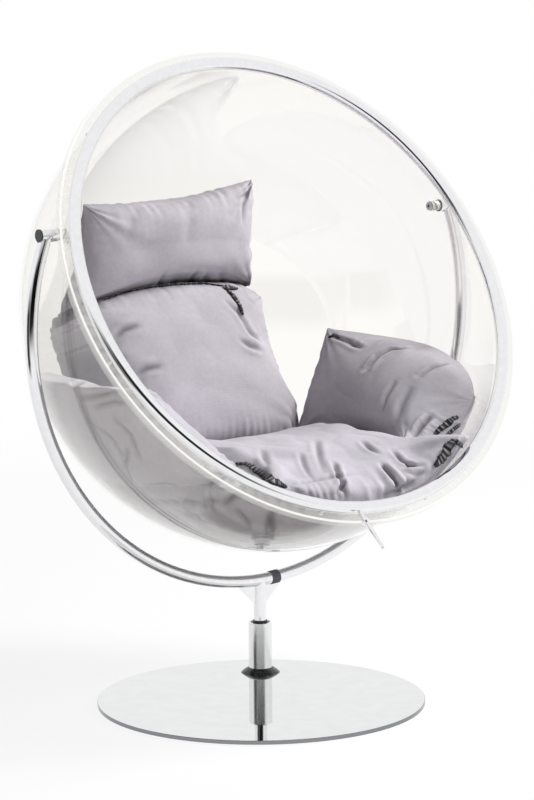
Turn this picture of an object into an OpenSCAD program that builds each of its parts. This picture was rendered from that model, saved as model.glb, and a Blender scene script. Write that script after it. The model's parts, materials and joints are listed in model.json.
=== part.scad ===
// Swivelling bubble chair: a clear blown dome in a tubular ring, hung at two
// side pivots in a bent yoke that turns on a post in a round steel base.
// Millimetres, +Z up. The origin is on the floor, on the post's axis.
// The seat faces -Y, the chair's width runs along X.

/* [Base] */
// Diameter of the round base plate
base_d = 650; // [560:5:760]
// Thickness of the base plate
base_t = 8; // [6:0.5:12]
// Distance from the post's axis to the centre of the plate
base_offset = 216; // [150:2:235]
// Direction in which the plate sticks out, turned from the seat's front
base_turn = -36.5; // [-180:0.5:180]
// Thickness of the rubber mat under the plate
pad_t = 1.5; // [1:0.5:4]

/* [Post] */
// Outer diameter of the fixed sleeve
sleeve_d = 48; // [46:1:56]
// Wall of the fixed sleeve
sleeve_wall = 4; // [2.5:0.5:6]
// Height of the sleeve's top above the floor
sleeve_top = 115; // [95:1:150]
// Diameter of the welded foot plate of the sleeve
foot_d = 60; // [56:1:62]
// Thickness of the foot plate
foot_t = 5; // [4:0.5:8]
// Diameter of the domed collar over the foot plate
collar_d = 80; // [78:1:110]
// Height of the domed collar
collar_h = 17; // [16:1:24]
// Outer diameter of the turning spindle tube
spindle_d = 25.4; // [24:0.2:30]
// Wall of the spindle tube
spindle_wall = 3; // [2:0.5:5]
// Length of each plain bush in the sleeve
bush_l = 24; // [15:1:30]
// Height of the upper bush's neck above the sleeve
neck_h = 4; // [2:0.5:8]

/* [Yoke] */
// Clearance from the dome's outer radius to the yoke's centre line
yoke_clear = 43; // [40:1:50]
// Height of the yoke's lowest centre point above the floor
yoke_low = 203; // [195:1:220]
// Height of the pivot line above the yoke's centre
pivot_rise = 198; // [190:1:206]
// Outer diameter of the yoke tube
yoke_d = 25.4; // [22:0.1:28]
// Wall of the yoke tube and of the pivot hubs
yoke_wall = 2; // [1.5:0.5:3]
// Length of each pivot hub
hub_l = 38; // [36:1:60]
// Reach of each pivot hub inward from the yoke's centre line
hub_reach = 24.5; // [22:0.5:26]
// Reach of the gusset plates to each side of the spindle
gusset_w = 40; // [20:1:60]
// Depth of the gusset plates below the yoke
gusset_h = 37; // [20:1:50]
// Thickness of the gusset plates
gusset_t = 4; // [3:0.5:6]
// Length of the rubber sleeve on the yoke
bumper_l = 20; // [15:1:50]
// Place of the rubber sleeve along the yoke, from the spindle
bumper_x = 35; // [30:1:120]

/* [Bubble] */
// Outer radius of the blown dome
ball_r = 498; // [494:1:502]
// Thickness of the acrylic
ball_wall = 5; // [4:0.5:6]
// Distance of the dome's centre behind the mouth
ball_back = 111; // [105:1:118]
// Distance of the mouth's centre below the pivot line, along the mouth
mouth_drop = 162; // [156:1:168]
// Distance of the mouth in front of the pivot line
mouth_ahead = 51; // [47:1:55]
// Angle of the mouth's axis above level
mouth_lift = 32; // [28:1:36]
// Reach of the flat rim beyond the dome's wall
rim_reach = 35.9; // [34:0.1:39]
// Height of the turned lip of the rim
lip_h = 17.5; // [13:0.5:22]
// Reach of the ring's centre line beyond the dome's wall
ring_reach = 3.9; // [2:0.1:5]
// Outer diameter of the ring tube
ring_tube_d = 25; // [22:0.5:26]
// Wall of the ring tube
ring_wall = 2; // [1.5:0.5:3]
// Number of screws that hold the ring to the rim
ring_screws_n = 12; // [6:1:24]
// Length of the handle bar under the ring
handle_l = 78; // [40:1:90]
// Diameter of the handle bar
handle_d = 8; // [7:0.5:12]
// Forward slant of the handle bar
handle_slant = 24; // [0:1:30]
// Turn of the handle bar round the ring, from its lowest point
handle_turn = 6.5; // [0:0.5:12]

/* [Pivots] */
// Diameter of each pivot bolt
axle_d = 12; // [10:0.5:13]
// Diameter of the pads that seat on the dome
seat_pad_d = 20; // [18:1:21]
// Thickness of each friction washer
washer_t = 1.8; // [1:0.1:2]
// Thickness of the bushes' flange
flange_t = 1.5; // [1:0.1:1.6]
// Thickness of the end caps
cap_t = 3; // [2:0.5:12]

/* [Cushions] */
// Width of the head pillow
head_w = 452; // [400:2:470]
// Height of the head pillow
head_h = 246; // [200:2:260]
// Thickness of the head pillow
head_t = 120; // [80:2:150]
// Width of the back cushion
back_w = 512; // [440:2:560]
// Height of the back cushion
back_h = 440; // [380:2:480]
// Thickness of the back cushion
back_t = 150; // [100:2:180]
// Width of the seat cushion
seat_w = 600; // [500:2:640]
// Depth of the seat cushion, front to back
seat_l = 560; // [480:2:600]
// Thickness of the seat cushion
seat_t = 170; // [120:2:190]
// Angle round the dome that each arm cushion takes along its top
arm_span = 60; // [48:1:62]
// Thickness of the arm cushions
arm_t = 150; // [80:2:170]

/* [Hidden] */
$fn = 96;

// Small clearances
run_gap = 0.05;
fit_gap = 0.02;
soft_gap = 0.5;
past = 1;

// Heights of the base
plate_top = pad_t + base_t;
foot_top = plate_top + foot_t;
sleeve_bore = sleeve_d - 2 * sleeve_wall;

// Yoke and pivots
yoke_r = ball_r + yoke_clear;
yoke_z = yoke_low + yoke_r;
pivot_z = yoke_z + pivot_rise;
hub_x = sqrt(pow(yoke_r, 2) - pow(pivot_z - yoke_z, 2));
hub_angle = atan2(pivot_z - yoke_z, hub_x);
hub_in = hub_x - hub_reach;
hub_out = hub_in + hub_l;
hub_bore = yoke_d - 2 * yoke_wall;
bush_in_l = 12;
bush_out_l = 9;
bolt_head_t = 4;
bolt_head_d = 17;
nut_t = 7;
nut_flats = 17;
nut_sink = nut_t + 7;

// Mouth of the bubble and centre of the dome
mouth = [0, -mouth_drop * sin(mouth_lift) - mouth_ahead * cos(mouth_lift),
    pivot_z - mouth_drop * cos(mouth_lift) + mouth_ahead * sin(mouth_lift)];
ball = mouth - ball_back * [0, -cos(mouth_lift), sin(mouth_lift)];
tube_r = ring_tube_d / 2;
rim_front = -tube_r;
rim_back = rim_front - ball_wall;
wall_r = sqrt(pow(ball_r, 2) - pow(ball_back + rim_back, 2));
rim_r = wall_r + rim_reach;
ring_r = wall_r + ring_reach;
screw_r = ring_r + 9;
ball_in = ball_r - ball_wall;

// The pads between the dome and the hubs
pad_face = hub_in - flange_t - washer_t - 2 * run_gap;
pad_reach = 14;

function ball_x(r, y, z) = sqrt(pow(r, 2) - pow(y - ball.y, 2) - pow(z - ball.z, 2));
inner_face = ball_x(ball_in, 0, pivot_z) - 6.5;

module at_mouth() {
    translate(mouth) rotate([90 - mouth_lift, 0, 0]) children();
}

module along_x(from, d, l) {
    translate([from, 0, 0]) rotate([0, 90, 0]) cylinder(d = d, h = l);
}

// side is 1 for the right and -1 for the left
module at_pivot(side) {
    translate([0, 0, pivot_z]) mirror([side < 0 ? 1 : 0, 0, 0]) children();
}

module yoke_arc(d, steps = 360) {
    rotate([90, 0, 0]) translate([0, yoke_z, 0])
        rotate([0, 0, -180 - hub_angle])
            rotate_extrude(angle = 180 + 2 * hub_angle, $fn = steps)
                translate([yoke_r, 0]) circle(d = d, $fn = 96);
}

// Base

module base_plate() color("gainsboro") {
    edge = 1;
    difference() {
        at_plate() rotate_extrude() union() {
            translate([0, pad_t]) square([base_d / 2 - edge, base_t]);
            translate([0, pad_t + edge]) square([base_d / 2, base_t - 2 * edge]);
            for (z = [pad_t + edge, plate_top - edge])
                translate([base_d / 2 - edge, z]) circle(r = edge, $fn = 48);
        }
        base_screw_places() {
            translate([0, 0, -past]) cylinder(d = 8 + 2 * run_gap, h = plate_top + 2 * past);
            translate([0, 0, pad_t - past]) cylinder(d = 14, h = 4 + past);
        }
    }
}

module at_plate() {
    rotate([0, 0, base_turn]) translate([0, -base_offset, 0]) children();
}

module floor_mat() color("dimgray") {
    at_plate() cylinder(d = base_d - 20, h = pad_t);
}

module base_screw_places() {
    for (a = [45:90:315]) rotate([0, 0, a])
        translate([foot_d / 2 - 7, 0, 0]) children();
}

module base_screws() color("silver") {
    base_screw_places() difference() {
        union() {
            translate([0, 0, pad_t + 0.5]) cylinder(d = 13, h = 3.5 - fit_gap);
            translate([0, 0, pad_t + 3]) cylinder(d = 8, h = foot_top - pad_t - 3.5);
        }
        translate([0, 0, pad_t]) cylinder(d = 5, h = 3, $fn = 6);
    }
}

module post_sleeve() color("gainsboro") {
    difference() {
        union() {
            translate([0, 0, plate_top]) cylinder(d = foot_d, h = foot_t);
            translate([0, 0, plate_top]) cylinder(d = sleeve_d, h = sleeve_top - plate_top);
        }
        translate([0, 0, foot_top]) cylinder(d = sleeve_bore, h = sleeve_top);
        base_screw_places()
            translate([0, 0, plate_top - past]) cylinder(d = 8 + 2 * fit_gap, h = foot_t + past - 0.4);
        translate([0, 0, groove_z]) rotate([-90, 0, 0])
            cylinder(d = 6 + 2 * fit_gap, h = sleeve_d);
    }
}

// A low dome over the foot plate, hollow where the plate and its screws are
module collar() color("dimgray") {
    hollow_d = foot_d + 2;
    hollow_h = foot_t + 0.5;
    crown_r = (pow(collar_d / 2, 2) + pow(collar_h, 2)) / (2 * collar_h);
    translate([0, 0, plate_top]) difference() {
        intersection() {
            translate([0, 0, collar_h - crown_r]) sphere(r = crown_r, $fn = 160);
            cylinder(d = collar_d, h = collar_h);
        }
        translate([0, 0, -past]) cylinder(d = hollow_d, h = hollow_h + past);
        translate([0, 0, -past]) cylinder(d = sleeve_d + 2 * 0.3, h = collar_h + 2 * past);
    }
}

lower_z = foot_top + 6;
upper_z = sleeve_top - bush_l;

module lower_bush() color("ivory") {
    bush_ring(lower_z, bush_l, sleeve_bore);
}

module upper_bush() color("black") {
    bush_ring(upper_z, bush_l, sleeve_bore);
    bush_ring(sleeve_top, neck_h, spindle_d + 4);
}

module bush_ring(z, l, d) {
    translate([0, 0, z]) difference() {
        cylinder(d = d - 2 * fit_gap, h = l);
        translate([0, 0, -past]) cylinder(d = spindle_d + 2 * run_gap, h = l + 2 * past);
    }
}

module thrust_washer() color("ivory") {
    translate([0, 0, foot_top]) cylinder(d = sleeve_bore - 2, h = 4);
}

spindle_low = foot_top + 4 + run_gap;
groove_z = (lower_z + bush_l + upper_z) / 2;

// A dog-point screw whose tip runs in the spindle's groove
module retaining_screw() color("dimgray") {
    tip = spindle_d / 2 - 1.2;
    translate([0, 0, groove_z]) rotate([-90, 0, 0]) difference() {
        union() {
            translate([0, 0, tip]) cylinder(d = 4, h = 6);
            translate([0, 0, spindle_d / 2 + 1]) cylinder(d = 6, h = sleeve_d / 2 - spindle_d / 2 - 1.5);
        }
        translate([0, 0, sleeve_d / 2 - 3]) cylinder(d = 3, h = 4, $fn = 6);
    }
}

// Yoke

module spindle() color("gainsboro") {
    top = yoke_low;
    difference() {
        translate([0, 0, spindle_low]) cylinder(d = spindle_d, h = top - spindle_low);
        translate([0, 0, spindle_low - past])
            cylinder(d = spindle_d - 2 * spindle_wall, h = top - spindle_low + 2 * past);
        translate([0, 0, groove_z - 2.5]) difference() {
            cylinder(d = spindle_d + 2, h = 5);
            translate([0, 0, -past]) cylinder(d = spindle_d - 3, h = 5 + 2 * past);
        }
        yoke_arc(yoke_d + 2 * fit_gap);
    }
}

module spindle_plug() color("silver") {
    translate([0, 0, spindle_low]) cylinder(d = spindle_d - 2 * spindle_wall - 2 * fit_gap, h = 14);
}

module yoke_tube() color("gainsboro") {
    difference() {
        yoke_arc(yoke_d, 96);
        yoke_arc(yoke_d - 2 * yoke_wall, 96);
        for (side = [-1, 1]) at_pivot(side) {
            along_x(hub_in - 10, yoke_d + 2 * fit_gap, hub_l + 20);
            translate([hub_in - 10, -yoke_d, -yoke_d / 4]) cube([hub_l + 20, 2 * yoke_d, yoke_d]);
        }
    }
}

// side is 1 for the right and -1 for the left
module gusset(side) {
    mirror([side < 0 ? 1 : 0, 0, 0]) difference() {
        translate([0, gusset_t / 2, 0]) rotate([90, 0, 0]) linear_extrude(gusset_t)
            polygon([[spindle_d / 2 - 3, yoke_low + yoke_d / 2],
                [spindle_d / 2 + gusset_w, yoke_low + yoke_d / 2],
                [spindle_d / 2 + gusset_w, yoke_low - yoke_d / 2 + 2],
                [spindle_d / 2, yoke_low - yoke_d / 2 - gusset_h],
                [spindle_d / 2 - 3, yoke_low - yoke_d / 2 - gusset_h]]);
        translate([0, 0, spindle_low]) cylinder(d = spindle_d + 2 * fit_gap, h = yoke_low);
        yoke_arc(yoke_d + 2 * fit_gap);
        if (side > 0) bumper_room(yoke_d + 3, bumper_l + 0.6);
        translate([-past, -10, yoke_low]) cube([gusset_w + spindle_d, 20, 30]);
    }
}

module gusset_left() color("silver") gusset(-1);
module gusset_right() color("silver") gusset(1);

// Room along the yoke for the rubber sleeve beside the spindle
module bumper_room(d, l) {
    half = l / 2 / yoke_r * 180 / PI;
    middle = asin(bumper_x / yoke_r) - 90;
    rotate([90, 0, 0]) translate([0, yoke_z, 0]) rotate([0, 0, middle - half])
        rotate_extrude(angle = 2 * half) translate([yoke_r, 0]) circle(d = d);
}

module yoke_bumper() color("black") {
    difference() {
        bumper_room(yoke_d + 2.4, bumper_l);
        bumper_room(yoke_d + 2 * fit_gap, bumper_l + 4);
    }
}

module pivot_hub(side) {
    at_pivot(side) difference() {
        along_x(hub_in, yoke_d, hub_l);
        along_x(hub_in - past, hub_bore, hub_l + 2 * past);
    }
}

module inner_bush(side) {
    at_pivot(side) difference() {
        union() {
            along_x(hub_in - flange_t, yoke_d, flange_t);
            along_x(hub_in, hub_bore - 2 * fit_gap, bush_in_l);
        }
        along_x(hub_in - 10, axle_d + 2 * run_gap, bush_in_l + 20);
    }
}

module outer_bush(side) {
    at_pivot(side) difference() {
        along_x(hub_out - nut_sink - bush_out_l, hub_bore - 2 * fit_gap, bush_out_l);
        along_x(hub_in, axle_d + 2 * run_gap, hub_l);
    }
}

module end_cap(side) {
    at_pivot(side) difference() {
        union() {
            along_x(hub_out, yoke_d - 0.4, cap_t);
            along_x(hub_out - 3, hub_bore - 2 * fit_gap, 4);
        }
        along_x(hub_out - 3 - past, hub_bore - 2.4, 3 + past);
    }
}

module pivot_hub_left() color("gainsboro") pivot_hub(-1);
module pivot_hub_right() color("gainsboro") pivot_hub(1);
module inner_bush_left() color("black") inner_bush(-1);
module inner_bush_right() color("black") inner_bush(1);
module outer_bush_left() color("black") outer_bush(-1);
module outer_bush_right() color("black") outer_bush(1);
module end_cap_left() color("black") end_cap(-1);
module end_cap_right() color("black") end_cap(1);

// Bubble

// Half section of the dome: blown wall with a tiny flat at its crown, flat rim
// and turned lip
module dome_profile() {
    lip_front = rim_back + lip_h;
    bevel = 1.5;
    crown_r = 1.5;
    intersection() {
        translate([0, -ball_back]) difference() {
            circle(r = ball_r, $fn = 240);
            circle(r = ball_in, $fn = 240);
        }
        translate([crown_r, -ball_back - ball_r - past])
            square([ball_r + past, ball_back + ball_r + past + rim_back + 1]);
    }
    translate([0, 0.03 - ball_back - ball_r]) square([crown_r + 1, ball_wall - 0.06]);
    polygon([[wall_r - ball_wall, rim_back], [rim_r - bevel, rim_back], [rim_r, rim_back + bevel],
        [rim_r, lip_front - bevel], [rim_r - bevel, lip_front], [rim_r - ball_wall + bevel, lip_front],
        [rim_r - ball_wall, lip_front - bevel], [rim_r - ball_wall, rim_back + ball_wall],
        [wall_r - ball_wall, rim_back + ball_wall]]);
}

module ring_screw_places() {
    for (i = [0:ring_screws_n - 1])
        rotate([0, 0, (i + 0.5) * 360 / ring_screws_n])
            translate([screw_r, 0, 0]) children();
}

// The bar's own axis starts on the ring, near its lowest point
module at_handle() {
    rotate([0, 0, -handle_turn]) translate([0, -ring_r, 0]) rotate([90 - handle_slant, 0, 0]) children();
}

module dome() color([0.85, 0.92, 0.95, 0.35]) {
    difference() {
        at_mouth() difference() {
            rotate_extrude($fn = 240) dome_profile();
            ring_screw_places()
                translate([0, 0, rim_back - past]) cylinder(d = 4.4, h = ball_wall + 2 * past);
            at_handle() cylinder(d = handle_d + 1, h = handle_l);
        }
        for (side = [-1, 1]) at_pivot(side) along_x(hub_in - 60, axle_d + 2 * run_gap, 60);
    }
}

module ring_tube() color("gainsboro") {
    at_mouth() difference() {
        rotate_extrude($fn = 240) translate([ring_r, 0]) difference() {
            circle(r = tube_r);
            circle(r = tube_r - ring_wall);
        }
        ring_screw_places()
            translate([0, 0, rim_back]) cylinder(d = 4 + 2 * fit_gap, h = tube_r + ball_wall);
    }
}

module ring_screws() color("silver") {
    at_mouth() ring_screw_places() difference() {
        union() {
            translate([0, 0, rim_back - 2.6]) cylinder(d = 7.6, h = 2.6);
            translate([0, 0, rim_back]) cylinder(d = 4, h = 13);
        }
        translate([0, 0, rim_back - 2.6 - past]) cylinder(d = 2.5, h = past + 1.6, $fn = 6);
    }
}

// A short bar welded under the ring, past the lip
module handle_bar() color("silver") {
    washer_at = rim_r - ring_r + 2;
    at_mouth() difference() {
        at_handle() {
            cylinder(d1 = handle_d, d2 = handle_d - 1, h = washer_at + handle_l);
            translate([0, 0, washer_at]) cylinder(d = 2 * handle_d, h = 7);
            translate([0, 0, washer_at + handle_l]) sphere(d = handle_d - 1, $fn = 48);
        }
        rotate_extrude($fn = 240) translate([ring_r, 0]) circle(r = tube_r + fit_gap);
    }
}

// A bolt from inside the dome; its plain shank turns in the hub's bushes
module pivot_bolt(side) {
    tip = hub_out - nut_sink + nut_t + 2;
    at_pivot(side) difference() {
        union() {
            along_x(inner_face - bolt_head_t, bolt_head_d, bolt_head_t);
            along_x(inner_face - 1, axle_d, tip - inner_face + 1);
        }
        translate([inner_face - bolt_head_t - past, 0, 0]) rotate([0, 90, 0])
            cylinder(d = 8, h = 2.5 + past, $fn = 6);
    }
}

// A pad whose inboard face is shaped to the outside of the dome
module outer_pad(side) {
    at_pivot(side) difference() {
        along_x(pad_face - pad_reach, seat_pad_d, pad_reach);
        along_x(pad_face - 20, axle_d + 2 * run_gap, 40);
        translate([0, ball.y, ball.z - pivot_z]) sphere(r = ball_r, $fn = 480);
    }
}

// A pad whose outboard face is shaped to the inside of the dome
module inner_pad(side) {
    at_pivot(side) intersection() {
        difference() {
            along_x(inner_face, seat_pad_d, 20);
            along_x(inner_face - 5, axle_d + 2 * run_gap, 40);
        }
        translate([0, ball.y, ball.z - pivot_z]) sphere(r = ball_in, $fn = 480);
    }
}

module lock_nut(side) {
    at_pivot(side) difference() {
        translate([hub_out - nut_sink + run_gap, 0, 0]) rotate([0, 90, 0])
            cylinder(d = nut_flats / cos(30), h = nut_t, $fn = 6);
        along_x(hub_out - nut_sink - past, axle_d + 2 * fit_gap, nut_t + 3);
    }
}

module friction_washer(side) {
    at_pivot(side) difference() {
        along_x(pad_face, seat_pad_d - 2, washer_t);
        along_x(pad_face - past, axle_d + 2 * run_gap, washer_t + 2 * past);
    }
}

module pivot_bolt_left() color("silver") pivot_bolt(-1);
module pivot_bolt_right() color("silver") pivot_bolt(1);
module outer_pad_left() color("whitesmoke") outer_pad(-1);
module outer_pad_right() color("whitesmoke") outer_pad(1);
module inner_pad_left() color("whitesmoke") inner_pad(-1);
module inner_pad_right() color("whitesmoke") inner_pad(1);
module lock_nut_left() color("gainsboro") lock_nut(-1);
module lock_nut_right() color("gainsboro") lock_nut(1);
module friction_washer_left() color("ivory") friction_washer(-1);
module friction_washer_right() color("ivory") friction_washer(1);

// Cushions. Each is a stuffed cover of two panels that share one seam: a grid
// of cells by cells patches a side, full in the middle and thin at the seam,
// with its sides drawn in between pointed corners.

cells = 18;
fullness = 0.75;

// Grid line i as a place from -1 to 1, closer together near the seam
function place(i) = sin(180 * i / cells - 90);
function crown(u, v) = pow(max(0, (1 - u * u) * (1 - v * v)), fullness / 2);
function across(u, v, draw) = u * (1 - draw * (1 - v * v) * u * u);

// Keeps a point inside the dome, the given depth from its wall
function in_ball(p, depth) =
    let (d = p - ball, far = ball_in - depth)
    norm(d) > far ? ball + d * far / norm(d) : p;

// Keeps a point behind a plane through at, whose normal is n
function behind(p, at, n) = let (over = (p - at) * n) over > 0 ? p - over * n : p;

function grid_id(i, j, back) =
    (!back || i == 0 || j == 0 || i == cells || j == cells)
    ? i * (cells + 1) + j
    : (cells + 1) * (cells + 1) + (i - 1) * (cells - 1) + j - 1;

// panel(u, v, side) gives a point; side is 1 on the front, 0 on the seam, -1 behind
module stuffed(panel) {
    front = [for (i = [0:cells]) for (j = [0:cells])
        let (seam = i == 0 || j == 0 || i == cells || j == cells)
        panel(place(i), place(j), seam ? 0 : 1)];
    rear = [for (i = [1:cells - 1]) for (j = [1:cells - 1]) panel(place(i), place(j), -1)];
    faces = [for (i = [0:cells - 1]) for (j = [0:cells - 1]) for (back = [false, true])
        let (a = grid_id(i, j, back), b = grid_id(i + 1, j, back),
            c = grid_id(i + 1, j + 1, back), d = grid_id(i, j + 1, back))
        each (2 * i < cells) == (2 * j < cells)
            ? (back ? [[a, b, c], [a, c, d]] : [[a, c, b], [a, d, c]])
            : (back ? [[a, b, d], [b, c, d]] : [[a, d, b], [b, d, c]])];
    polyhedron(points = concat(front, rear), faces = faces, convexity = 6);
}

// A flat cushion: centre, its width axis, its height axis and its front normal
function flat_panel(c, x, y, n, w, h, front_t, rear_t, u, v, side) =
    c + x * across(u, v, 0.05) * w / 2 + y * across(v, u, 0.16) * h / 2
    + n * crown(u, v) * (side > 0 ? front_t : side < 0 ? -rear_t : 0);

// Depth at which each layer rests on the dome, so that a cover never folds flat
function rest_depth(side) = side > 0 ? 16 : side < 0 ? soft_gap : 8;

// Planes that part neighbouring cushions; each cushion keeps to its own side
part_gap = 0.5;
seat_plane = ball + ball_in * [0, 0.375181, -0.675093];
seat_up = [0, 0.5, 0.866];
head_plane = ball + ball_in * [0, 0.760576, -0.013836];
head_up = [0, 0.5, 0.866];
side_turn = 42;
arm_plane = ball + ball_in * [0.720081, 0.070921, -0.719718];
arm_up = [0.47, 0, 0.883];

function above(p, at, n) = behind(p, at + n * part_gap, -n);
function below(p, at, n) = behind(p, at - n * part_gap, n);
function mirrored(v, side) = [v.x * side, v.y, v.z];
function side_normal(side) = [side * sin(side_turn), -cos(side_turn), 0];

head_c = ball + ball_in * [0.016227, 0.744349, 0.172777];
head_lean = -9;
head_twist = 8;
head_roll = 2.6;

function up_axis(lean) = [0, sin(lean), cos(lean)];
function front_axis(lean) = [0, -cos(lean), sin(lean)];

function head_panel(u, v, side) =
    let (lean = head_lean + head_twist * u, roll = [cos(head_roll), 0, sin(head_roll)])
    in_ball(above(flat_panel(head_c, roll, up_axis(lean), front_axis(lean),
        head_w, head_h, head_t / 2, head_t / 2, u, v, side), head_plane, head_up), rest_depth(side));

// The back cushion bends with the dome: an arc about the dome's own level axis
back_mid = -31;
back_seam_r = 0.754564 * ball_in;
back_round = 8;
// Share of the thickness that bulges towards the sitter
back_bulge = 0.74;

function back_panel(u, v, side) =
    let (h = back_h / back_seam_r * 180 / PI / 2,
        a = back_mid + across(v, u, 0.04) * h - back_round * pow(u, 4) * max(0, v),
        r = back_seam_r - crown(u, v) * (side > 0 ? back_bulge * back_t : side < 0 ? -back_t : 0),
        p = ball + [across(u, v, 0.05) * back_w / 2, r * cos(a), r * sin(a)])
    in_ball(above(below(below(below(p, ball, side_normal(1)), ball, side_normal(-1)),
        head_plane, head_up), seat_plane, seat_up), rest_depth(side));

// The seat cushion lies in the bowl of the dome, its sides higher than its middle
seat_c = ball + ball_in * [0, -0.131919, -0.740002];
seat_bowl = 70;

function seat_panel(u, v, side) =
    let (x = across(u, v, 0.05), y = across(v, u, 0.05),
        p = seat_c + [x * seat_w / 2, y * seat_l / 2,
            seat_bowl * u * u + crown(u, v) * (side > 0 ? seat_t / 2 : side < 0 ? -seat_t : 0)])
    in_ball(below(below(below(p, seat_plane, seat_up), arm_plane, arm_up),
        mirrored(arm_plane, -1), mirrored(arm_up, -1)), rest_depth(side));

// An arm cushion lines the dome's side: its rows run level round the wall, from
// a top edge down to the plane that parts it from the seat cushion. Its seam
// leaves the wall towards the bottom, where the cover is full.
arm_rear = 37;
arm_top = -12.5;
arm_flare_front = 18;
arm_flare_rear = 4;
arm_seam = 60;

function arm_droop(u, slump) =
    slump > 0 ? slump * pow(max(0, u + 0.5), 2.5) : -slump * pow(max(0, 0.2 - u), 1.5);

function arm_panel(u, v, side, slump) =
    let (low = (1 - across(v, u, 0.1)) / 2, full = crown(u, v),
        rear = arm_rear + arm_flare_rear * low,
        front = arm_rear - arm_span - arm_flare_front * low,
        a = rear + (front - rear) * (1 + across(u, v, -0.02)) / 2,
        seam = rest_depth(0) + arm_seam * (1 - v) / 2,
        depth = side > 0 ? seam + full * (arm_t * (1 - 0.2 * v * v) - seam) : seam * (1 - max(0, -side) * full),
        top = ball.z + ball_in * sin(arm_top - arm_droop(u, slump)),
        r = sqrt(pow(ball_in - soft_gap, 2) - pow(top + (arm_plane.z - top) * low - ball.z, 2)) - depth,
        foot = arm_plane.z + part_gap / arm_up.z + (arm_plane.x - r * cos(a)) * arm_up.x / arm_up.z,
        p = ball + [r * cos(a), r * sin(a), top + (foot - top) * low - ball.z],
        n = [0, -cos(mouth_lift), sin(mouth_lift)])
    in_ball(above(below(p, mouth - n * 18, n), ball, side_normal(1)), soft_gap);

module head_pillow() color("thistle") stuffed(function(u, v, side) head_panel(u, v, side));
module back_cushion() color("thistle") stuffed(function(u, v, side) back_panel(u, v, side));
module seat_cushion() color("thistle") stuffed(function(u, v, side) seat_panel(u, v, side));

module arm_cushion(side, slump) {
    mirror([side < 0 ? 1 : 0, 0, 0]) stuffed(function(u, v, layer) arm_panel(u, v, layer, slump));
}

module arm_cushion_left() color("thistle") arm_cushion(-1, -2.5);
module arm_cushion_right() color("thistle") arm_cushion(1, 4.8);

base_plate();
floor_mat();
post_sleeve();
collar();
base_screws();
lower_bush();
upper_bush();
thrust_washer();
retaining_screw();
spindle();
spindle_plug();
yoke_tube();
gusset_left();
gusset_right();
yoke_bumper();
pivot_hub_left();
pivot_hub_right();
inner_bush_left();
inner_bush_right();
outer_bush_left();
outer_bush_right();
end_cap_left();
end_cap_right();
dome();
ring_tube();
ring_screws();
handle_bar();
pivot_bolt_left();
pivot_bolt_right();
outer_pad_left();
outer_pad_right();
inner_pad_left();
inner_pad_right();
lock_nut_left();
lock_nut_right();
friction_washer_left();
friction_washer_right();
head_pillow();
back_cushion();
seat_cushion();
arm_cushion_left();
arm_cushion_right();
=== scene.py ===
# %% [markdown]
# # A clear bubble chair on a swivel stand
#
# The real chair is a blown acrylic dome in a polished tube ring. It hangs at
# two side pivots in a bent tube, the yoke, which turns on a short post in a
# round mirror-like steel plate. Five stuffed cushions line the dome. The
# CAD model gives every rigid piece its size and place, so this lesson loads it,
# gives each piece its finish, and sews the soft pieces anew.

import json
import math

import bmesh
import bpy
import numpy as np
from mathutils import Matrix, Vector


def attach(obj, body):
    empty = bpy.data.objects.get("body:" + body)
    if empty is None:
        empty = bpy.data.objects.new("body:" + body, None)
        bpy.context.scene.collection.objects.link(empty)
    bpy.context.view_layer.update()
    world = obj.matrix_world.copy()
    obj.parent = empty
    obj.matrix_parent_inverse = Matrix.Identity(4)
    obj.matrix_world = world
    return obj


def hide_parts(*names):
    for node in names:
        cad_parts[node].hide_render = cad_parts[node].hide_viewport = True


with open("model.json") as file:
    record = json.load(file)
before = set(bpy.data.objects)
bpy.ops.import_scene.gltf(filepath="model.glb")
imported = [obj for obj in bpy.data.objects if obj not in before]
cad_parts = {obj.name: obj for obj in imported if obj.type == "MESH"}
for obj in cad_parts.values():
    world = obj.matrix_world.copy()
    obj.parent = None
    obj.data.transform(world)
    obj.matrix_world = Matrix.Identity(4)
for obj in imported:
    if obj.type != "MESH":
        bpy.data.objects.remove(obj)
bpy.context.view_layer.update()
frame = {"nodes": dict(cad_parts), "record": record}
bpy.context.scene.view_settings.view_transform = "Standard"

# %% [markdown]
# ## The camera
#
# A long lens far from the chair, a little above the seat and turned to its
# left. Its place was found by fitting the ellipses of the rim, the dome and the
# base plate. A portrait picture of 534 by 800 fits its height to the sensor.

# %% Camera
FRAME_WIDE, FRAME_HIGH = 534, 800
FOCAL_PX = 3005.09
CAMERA_AT = Vector((-3.6113, -4.8222, 1.4905))
CAMERA_TURN, CAMERA_DOWN, CAMERA_ROLL = math.radians(-37), math.radians(8.645), math.radians(-0.471)


def aim(turn, down, roll):
    """The turn of a camera that looks along +Y, then turns, dips and rolls."""
    return (Matrix.Rotation(turn, 4, "Z") @ Matrix.Rotation(math.pi / 2 - down, 4, "X")
            @ Matrix.Rotation(roll, 4, "Z"))


lens = bpy.data.cameras.new("portrait_lens")
lens.sensor_fit = "VERTICAL"
lens.sensor_height = 36.0
lens.lens = FOCAL_PX * lens.sensor_height / FRAME_HIGH
lens.clip_end = 60
camera = bpy.data.objects.new("camera", lens)
camera.matrix_world = Matrix.Translation(CAMERA_AT) @ aim(CAMERA_TURN, CAMERA_DOWN, CAMERA_ROLL)
bpy.context.collection.objects.link(camera)
bpy.context.scene.camera = camera
print(f"lens {lens.lens:.1f} mm at {tuple(round(c, 2) for c in CAMERA_AT)}")

# %% [markdown]
# A picture point names a line of sight. Where a crease or a tie is placed
# from the picture, the line is cast onto the cushion that carries it, so
# the mark lies on the cloth from every side.

# %% Line of sight
TO_WORLD = camera.matrix_world.to_3x3()


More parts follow.
